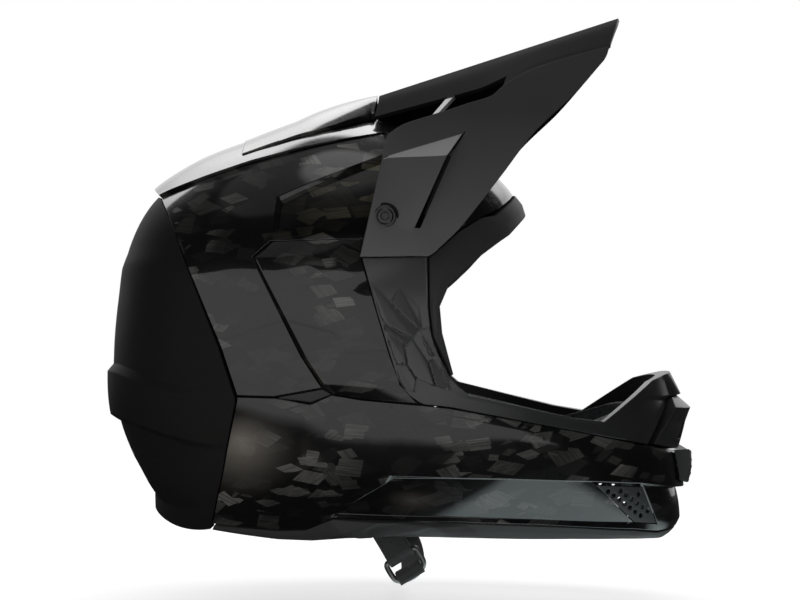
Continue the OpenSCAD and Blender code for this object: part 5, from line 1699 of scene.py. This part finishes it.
def webbing(name, path):
    """Flat woven strap along a path of [y, z], with rounded edges and a UV map in metres."""
    spots, along = smooth_path(path)
    run = np.gradient(spots, axis=0)
    run /= np.linalg.norm(run, axis=1, keepdims=True)
    up = np.stack([-run[:, 1], run[:, 0]], -1)
    half_w, half_t = STRAP_W / 2, STRAP_T / 2
    ring = [(-half_w, 0), (-half_w + 0.25, 0.7), (-half_w + 0.9, 1)]
    ring += [(x, 0.94) for x in np.linspace(-half_w + 1.8, half_w - 1.8, 9)]
    ring += [(half_w - 0.9, 1), (half_w - 0.25, 0.7), (half_w, 0)]
    ring += [(x, -t) for x, t in reversed(ring[1:-1])]
    points, uv = [], []
    m = len(ring)
    for k in range(len(spots)):
        for x, t in ring:
            points.append((x, spots[k, 0] + t * half_t * up[k, 0],
                           spots[k, 1] + t * half_t * up[k, 1]))
            uv.append((x * MM, along[k] * MM))
    faces = belt(len(spots), m, closed=False)
    faces.append(tuple(range(m - 1, -1, -1)))
    faces.append(tuple(range((len(spots) - 1) * m, len(spots) * m)))
    mesh = bpy.data.meshes.new(name)
    mesh.from_pydata([tuple(p) for p in lean(points) * MM], [], faces)
    layer = mesh.uv_layers.new(name="along")
    for loop in mesh.loops:
        layer.data[loop.index].uv = uv[loop.vertex_index]
    mesh.polygons.foreach_set("use_smooth", [True] * len(mesh.polygons))
    work = bmesh.new()
    work.from_mesh(mesh)
    face_outward(work)
    work.to_mesh(mesh)
    work.free()
    mesh.materials.append(WEBBING)
    return placed(name, mesh)


PLATE_L = 24.5
SLOT_L = 4.0
SLOT_TOP = -18.0
LOOP_OUT = PLATE_T / 2 + FIT_GAP + STRAP_T / 2
LAYER = STRAP_T / 2 + 0.15
SLOT_MID = SLOT_TOP - 1.6
RING_STEP = RING_WIRE / 2 + 0.2
RING_LOOP_OUT = RING_STEP + RING_WIRE / 2 + FIT_GAP + STRAP_T / 2
# Half of the long strap's loop under the chin: shares of the strap's distance, and the height
CHIN_RUN = [[0.954, -45.5], [0.867, -52], [0.718, -55.6], [0.372, -57.6]]


def round_bar(half, bar_z, side):
    """Path of the webbing down one side of its middle, round a bar and up the other side."""
    return [[STRAP_Y + side * out, z] for out, z in half] + [[STRAP_Y, bar_z]] \
        + [[STRAP_Y - side * out, z] for out, z in reversed(half)]


PLATE_LOOP = [[STRAP_Y - LAYER, -38]] + round_bar(
    [[LAYER, -29], [LOOP_OUT, -24.6], [LOOP_OUT, SLOT_MID - 1.9],
     [LOOP_OUT * 0.6, SLOT_MID - 0.5]], SLOT_MID, -1)


def ring_strap():
    """Short strap on the right, through the plate and back round the two rings."""
    under = RING_BAR_Z - RING_WIRE / 2 - FIT_GAP - STRAP_T / 2
    half = [[RING_LOOP_OUT, -42.4], [RING_LOOP_OUT, RING_BAR_Z - 0.6],
            [RING_LOOP_OUT * 0.7, under + 0.6]]
    path = PLATE_LOOP + [[STRAP_Y + LAYER, -36]] + round_bar(half, under, 1) \
        + [[STRAP_Y - LAYER, -38.6]]
    return webbing("ring_strap_web", [[-y, z] for y, z in path])


def long_strap():
    """Strap from the left plate under the chin and through the rings, with a loose end."""
    tail_y = -STRAP_Y - TAIL_OUT
    path = PLATE_LOOP + [[STRAP_Y + LAYER, -36]] + [[k * STRAP_Y, z] for k, z in CHIN_RUN] \
        + [[0, -58]] + [[-k * STRAP_Y, z] for k, z in CHIN_RUN[:1:-1]] + [
            [-CHIN_RUN[1][0] * STRAP_Y, THROUGH_Z - 1.6], [-STRAP_Y, THROUGH_Z],
            [-STRAP_Y - 5, THROUGH_Z - 1.4], [tail_y, THROUGH_Z - 4],
            [tail_y, THROUGH_Z - TAIL_DOWN]]
    return webbing("long_strap_web", path)


TACK_RISE = 0.05


def bar_tacks():
    """Box stitches where the webbing is doubled, on both of its faces, and at its loose end."""
    paths = []
    face = LAYER + STRAP_T / 2 + TACK_RISE
    half, low, high = 5.6, -37, -30.6
    box = [(-half, low), (half, low), (half, high), (-half, high), (-half, low), (half, high)]
    cross = [(half, low), (-half, high)]
    for y in (STRAP_Y + face, STRAP_Y - face):
        paths += [lean([(x, side * y, z) for x, z in run])
                  for side in (1, -1) for run in (box, cross)]
    end = THROUGH_Z - 5.4
    for out in (-STRAP_T / 2 - TACK_RISE, STRAP_T / 2 + TACK_RISE):
        y = -STRAP_Y - TAIL_OUT + out
        paths += [lean([(-5.8, y, z), (5.8, y, z)]) for z in (end, end + 1.1)]
    return paths


def tube(name, path, radius, finish, sides=16):
    """Round wire along a closed path."""
    path = np.asarray(path, float)
    run = np.roll(path, -1, axis=0) - np.roll(path, 1, axis=0)
    run /= np.linalg.norm(run, axis=1, keepdims=True)
    side = np.array([0.0, 1.0, 0.0])
    out = np.cross(run, side)
    out /= np.linalg.norm(out, axis=1, keepdims=True)
    points = []
    for spot, away in zip(path, out):
        for s in range(sides):
            a = 2 * math.pi * s / sides
            points.append(spot + radius * (math.cos(a) * away + math.sin(a) * side))
    return new_piece(name, lean(points), belt(len(path), sides), finish, 60)


def d_rings():
    """Two rings side by side on the short strap."""
    half = STRAP_W / 2 + 0.6 + RING_WIRE / 2
    right = [[half - 2, 0], [half - 0.6, -0.6], [half, -2], [half, -9.4], [half - 1.6, -12],
             [half - 5, -13.6]]
    left = [[-x, z] for x, z in reversed(right)]
    outline = cut_corners(right + [[0, -14.4]] + left, 3, closed=True)
    rings = [tube("ring", [[x, y, RING_BAR_Z + z] for x, z in outline], RING_WIRE / 2, RING_STEEL)
             for y in (-STRAP_Y - RING_STEP, -STRAP_Y + RING_STEP)]
    return joined(rings, "d_ring_pair")


def strap_plates():
    """Flat steel plates, each with a hole for its rivet and a slot for the webbing."""
    eye, wide = RIVET_D / 2 + 5, STRAP_W / 2 + 3
    outline = [[eye * math.cos(a), eye * math.sin(a)] for a in np.radians(range(0, 181, 6))]
    outline += [[-wide, SLOT_TOP + 3], [-wide, 1.6 - PLATE_L], [1.6 - wide, -PLATE_L],
                [wide - 1.6, -PLATE_L], [wide, 1.6 - PLATE_L], [wide, SLOT_TOP + 3]]
    bore, slot_half = RIVET_D / 2 + FIT_GAP, STRAP_W / 2 + 0.5
    hole = [[bore * math.cos(a), bore * math.sin(a)] for a in np.radians(range(0, 360, 12))]
    slot = [[-slot_half, SLOT_TOP], [slot_half, SLOT_TOP], [slot_half, SLOT_TOP - SLOT_L],
            [-slot_half, SLOT_TOP - SLOT_L]]
    work = bmesh.new()
    edges = []
    for loop in (outline, hole, slot):
        verts = [work.verts.new(lean([x, PLATE_Y, z]) * MM) for x, z in loop]
        edges += [work.edges.new((a, b)) for a, b in zip(verts, verts[1:] + verts[:1])]
    filled = bmesh.ops.triangle_fill(work, edges=edges, use_beauty=True, use_dissolve=False)
    faces = [g for g in filled["geom"] if isinstance(g, bmesh.types.BMFace)]
    for v in pulled_out(work, faces):
        v.co.y += PLATE_T * MM
    bmesh.ops.recalc_face_normals(work, faces=work.faces)
    mark_creases(work, 30)
    plate = placed("strap_plate", drawn(work, "strap_plate"))
    plate.data.materials.append(STEEL)
    round_edges(plate, EDGE_ROUND)
    apply_modifiers(plate)
    return with_twin(plate, "strap_plate_pair")


def strap_rivets():
    """Rivets that hold the strap's plates to the jaw liner."""
    y, r = PLATE_Y - FIT_GAP, RIVET_D / 2
    outline = [(TURNED_TIP, y - 2), (r + 1.2, y - 2), (r + 2.2, y - 1.4), (r + 2.5, y), (r, y),
               (r, JAW_INNER_Y), (8, JAW_INNER_Y), (8, JAW_INNER_Y + 3),
               (TURNED_TIP, JAW_INNER_Y + 3)]
    return with_twin(lathe("rivet", outline, (STRAP_X, 0, STRAP_Z), STEEL), "strap_rivet_pair")


# Floor, lights and background

FLOOR_DROP = 0.018
TABLE_DROP = 0.002
FLOOR_SIZE = 6.0
# The room as the gloss mirrors it: between two places of the ray, how bright at each
LOW_BACK = (0.0, 0.35, 0.7, 1.05)
HIGH_BACK = (0.35, 0.73, 0.0, 2.4)
BACK_FROM = (0.64, 0.69)
OVERHEAD = (0.79, 0.82, 0.02, 0.2)
CEILING = (0.945, 0.97, 0.0, 1.0)
# Each lamp: where, width, height and radiance as the panels mirror it
LAMPS = (("front card", (-0.8, -2.2, 0.27), 7.2, 0.88, 0.85),
         ("top box", (0.1, 0.3, 1.5), 1.5, 0.8, 1.6),
         ("back box", (-0.1, 1.6, 0.8), 1.6, 0.7, 1.2))
LAMP_AIM = (0.04, 0, 0)


def light_scene():
    """World that is white to the camera, a dark room to the gloss, and the lamps."""
    scene = bpy.context.scene
    scene.view_settings.view_transform = "Standard"
    world = bpy.data.worlds.new("studio")
    scene.world = world
    world.use_nodes = True
    nodes = Nodes(world.node_tree)
    back = world.node_tree.nodes["Background"]
    path = nodes.add("ShaderNodeLightPath").outputs
    ray = nodes.split(nodes.add("ShaderNodeTexCoord").outputs["Generated"])
    height = nodes.math("ADD", nodes.ramp(ray[2], *LOW_BACK), nodes.ramp(ray[2], *HIGH_BACK))
    behind = nodes.math("MULTIPLY", nodes.ramp(ray[1], *BACK_FROM), height)
    above = nodes.math("ADD", nodes.ramp(ray[2], *OVERHEAD), nodes.ramp(ray[2], *CEILING))
    mirrored_room = nodes.math("MAXIMUM", behind, above)
    light = nodes.mix(path["Is Glossy Ray"], (0.3, 0.3, 0.3, 1), mirrored_room)
    plain = nodes.math("MAXIMUM", path["Is Camera Ray"], path["Is Transmission Ray"])
    nodes.join(nodes.mix(plain, light, (1, 1, 1, 1)), back.inputs["Color"])
    for name, spot, width, height, radiance in LAMPS:
        data = bpy.data.lights.new(name, "AREA")
        data.shape = "RECTANGLE"
        data.size, data.size_y = width, height
        data.energy = radiance * math.pi * width * height
        lamp = placed(name, data)
        lamp.location = spot
        lamp.rotation_euler = (Vector(spot) - Vector(LAMP_AIM)).to_track_quat("Z", "Y").to_euler()
        lamp.visible_camera = False
        lamp.visible_glossy = name == "front card"


def wide_sheet(name, z, material):
    """Level sheet of the stage."""
    mesh = bpy.data.meshes.new(name)
    corners = ((-1, -1), (1, -1), (1, 1), (-1, 1))
    mesh.from_pydata([(FLOOR_SIZE * x, FLOOR_SIZE * y, z) for x, y in corners], [],
                     [(0, 1, 2, 3)])
    mesh.materials.append(material)
    sheet = placed(name, mesh)
    sheet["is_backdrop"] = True
    return sheet


def place_floor():
    """Pale floor under the strap's lowest swing, which fades into the background and doesn't
    hide the object from below."""
    material, nodes, shader = new_material("pale floor")
    set_plain(shader, Roughness=1.0, Specular_IOR_Level=0.0, Emission_Strength=1.0)
    path = nodes.add("ShaderNodeLightPath").outputs
    away = nodes.ramp(nodes.vector_math("LENGTH", nodes.object_place())[1], 0.4, 1.1)
    nodes.join(nodes.mix(away, (0.82, 0.82, 0.82, 1), (0, 0, 0, 1)), shader["Base Color"])
    own = nodes.math("MULTIPLY", path["Is Camera Ray"], nodes.ramp(away, 0, 1, 0.66, 1.0))
    nodes.join(own, shader["Emission Color"])
    under = nodes.add("ShaderNodeNewGeometry").outputs["Backfacing"]
    nodes.join(nodes.math("SUBTRACT", 1.0, under), shader["Alpha"])
    wide_sheet("floor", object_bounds()[0][2] - FLOOR_DROP, material)


def place_table_mirror():
    """What the gloss mirrors below the object: a dark table with a bright far part, a pale
    corner and two warm glows, as in the photograph."""
    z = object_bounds()[0][2] - TABLE_DROP
    material, nodes, shader = new_material("mirrored table")
    set_plain(shader, Base_Color=(0, 0, 0, 1), Roughness=1.0, Specular_IOR_Level=0.0,
              Emission_Strength=1.0)
    spot = nodes.object_place()
    x, y = nodes.split(spot)[:2]

    def slanted(slope, first, low, high):
        """Ramp over y plus a slope times how far x is past its first place."""
        past = nodes.math("MAXIMUM", nodes.math("SUBTRACT", x, first), 0.0)
        return nodes.ramp(nodes.math("ADD", y, nodes.math("MULTIPLY", past, slope)), low, high)

    def glow(place, size):
        """Soft oval that fades from its place to its size."""
        away = nodes.vector_math("SUBTRACT", spot, (*place, z))[0]
        wide = nodes.vector_math("MULTIPLY", away, (1 / size[0], 1 / size[1], 0))[0]
        length = nodes.vector_math("LENGTH", wide)[1]
        return nodes.math("POWER", nodes.ramp(length, 1.0, 0.0), 1.6)

    def all_of(*shares):
        """Product of several shares."""
        product = shares[0]
        for share in shares[1:]:
            product = nodes.math("MULTIPLY", product, share)
        return product

    # The front card stands slanted, and the table ends before it
    before_card = nodes.math("ADD", y, nodes.math("MULTIPLY", x, 0.382))
    far = all_of(slanted(0.55, -0.02, -0.31, -0.36), nodes.ramp(before_card, -2.51, -2.47),
                 nodes.ramp(x, 1.5, 1.1))
    pale = all_of(slanted(0.55, 0.05, -0.126, -0.112), nodes.ramp(x, 0.035, 0.05),
                  nodes.ramp(x, 0.27, 0.24), nodes.ramp(y, 0.02, -0.02))
    seen = (0.02, 0.02, 0.02, 1)
    for share, colour in ((pale, (1.45, 1.68, 1.7, 1)),
                          (glow((-0.14, -0.225), (0.11, 0.12)), (2.1, 1.9, 1.65, 1)),
                          (glow((0.078, -0.17), (0.03, 0.022)), (0.6, 0.53, 0.46, 1)),
                          (far, (0.86, 0.86, 0.86, 1))):
        seen = nodes.mix(share, seen, colour)
    nodes.join(seen, shader["Emission Color"])
    sheet = wide_sheet("mirrored_table", z, material)
    sheet.visible_camera = sheet.visible_diffuse = sheet.visible_shadow = False
    sheet.visible_transmission = sheet.visible_volume_scatter = False


def build():
    """Every piece, on its body and in place of its CAD nodes."""
    stands_for(roof_shell(), "shell", "carbon_gloss", "roof_shell")
    stands_for(roof_spine(), "shell", "carbon_gloss", "roof_spine")
    pair(side_shell(), "side_shell", "shell", "carbon_gloss")
    pair(side_panel(), "side_panel", "shell", "carbon_gloss")
    pair(side_vent(), "side_vent", "shell", "matte_moulding")
    stands_for(rear_shell(), "shell", "matte_moulding", "rear_shell")
    stands_for(chin_bar_shell(), "shell", "carbon_gloss", "chin_bar_shell")
    stands_for(face_frame(), "shell", "matte_moulding", "face_frame")
    stands_for(eyeport_trim(), "shell", "matte_moulding", "eyeport_trim")
    stands_for(lower_rim(), "shell", "matte_moulding", "lower_rim")
    stands_for(front_grille(), "shell", "matte_moulding", "front_grille")
    stands_for(nose_vent(), "shell", "matte_moulding", "nose_vent")
    pair(chin_mesh(), "chin_mesh", "shell", "matte_moulding")
    stands_for(head_liner(), "shell", "foam", "head_liner")
    stands_for(chin_liner(), "shell", "foam", "chin_liner")
    pair(jaw_liner(), "jaw_liner", "shell", "foam")
    seams = cheek_paths(1) + cheek_paths(-1)
    for stem, *shape in PADS:
        pad = stands_for(wrap_pad(stem + "_cloth", *shape), "shell", "pad_cloth", stem)
        seams += channel_paths(*shape)
    stands_for(stitched("pad_stitches", seams, THREAD), "shell", "pad_cloth")
    pair(cheek_pad(), "cheek_pad", "shell", "pad_cloth")
    stands_for(visor(), "visor", "matte_moulding", "visor")
    washer, boss, screw = pivot_parts()
    stands_for(with_twin(washer, "washer_pair"), "visor", "dark_steel", "visor_washers")
    stands_for(with_twin(boss, "visor_boss_pair"), "visor", "matte_moulding")
    stands_for(with_twin(screw, "screw_pair"), "shell", "dark_steel", "visor_screws")
    stands_for(strap_rivets(), "shell", "steel", "strap_rivets")
    stands_for(strap_plates(), "strap", "steel", "strap_plates")
    stands_for(ring_strap(), "strap", "webbing", "ring_strap")
    stands_for(long_strap(), "strap", "webbing", "long_strap")
    stands_for(d_rings(), "strap", "steel", "d_rings")
    stands_for(stitched("strap_stitches", bar_tacks(), THREAD, Pitch=0.0018,
                        Stitch_Length=0.0016, Thread_Radius=0.00028), "strap", "webbing")
    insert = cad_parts["visor_inserts"]
    insert.data.materials.clear()
    insert.data.materials.append(STEEL)


place_camera()
build()
light_scene()
place_floor()
place_table_mirror()
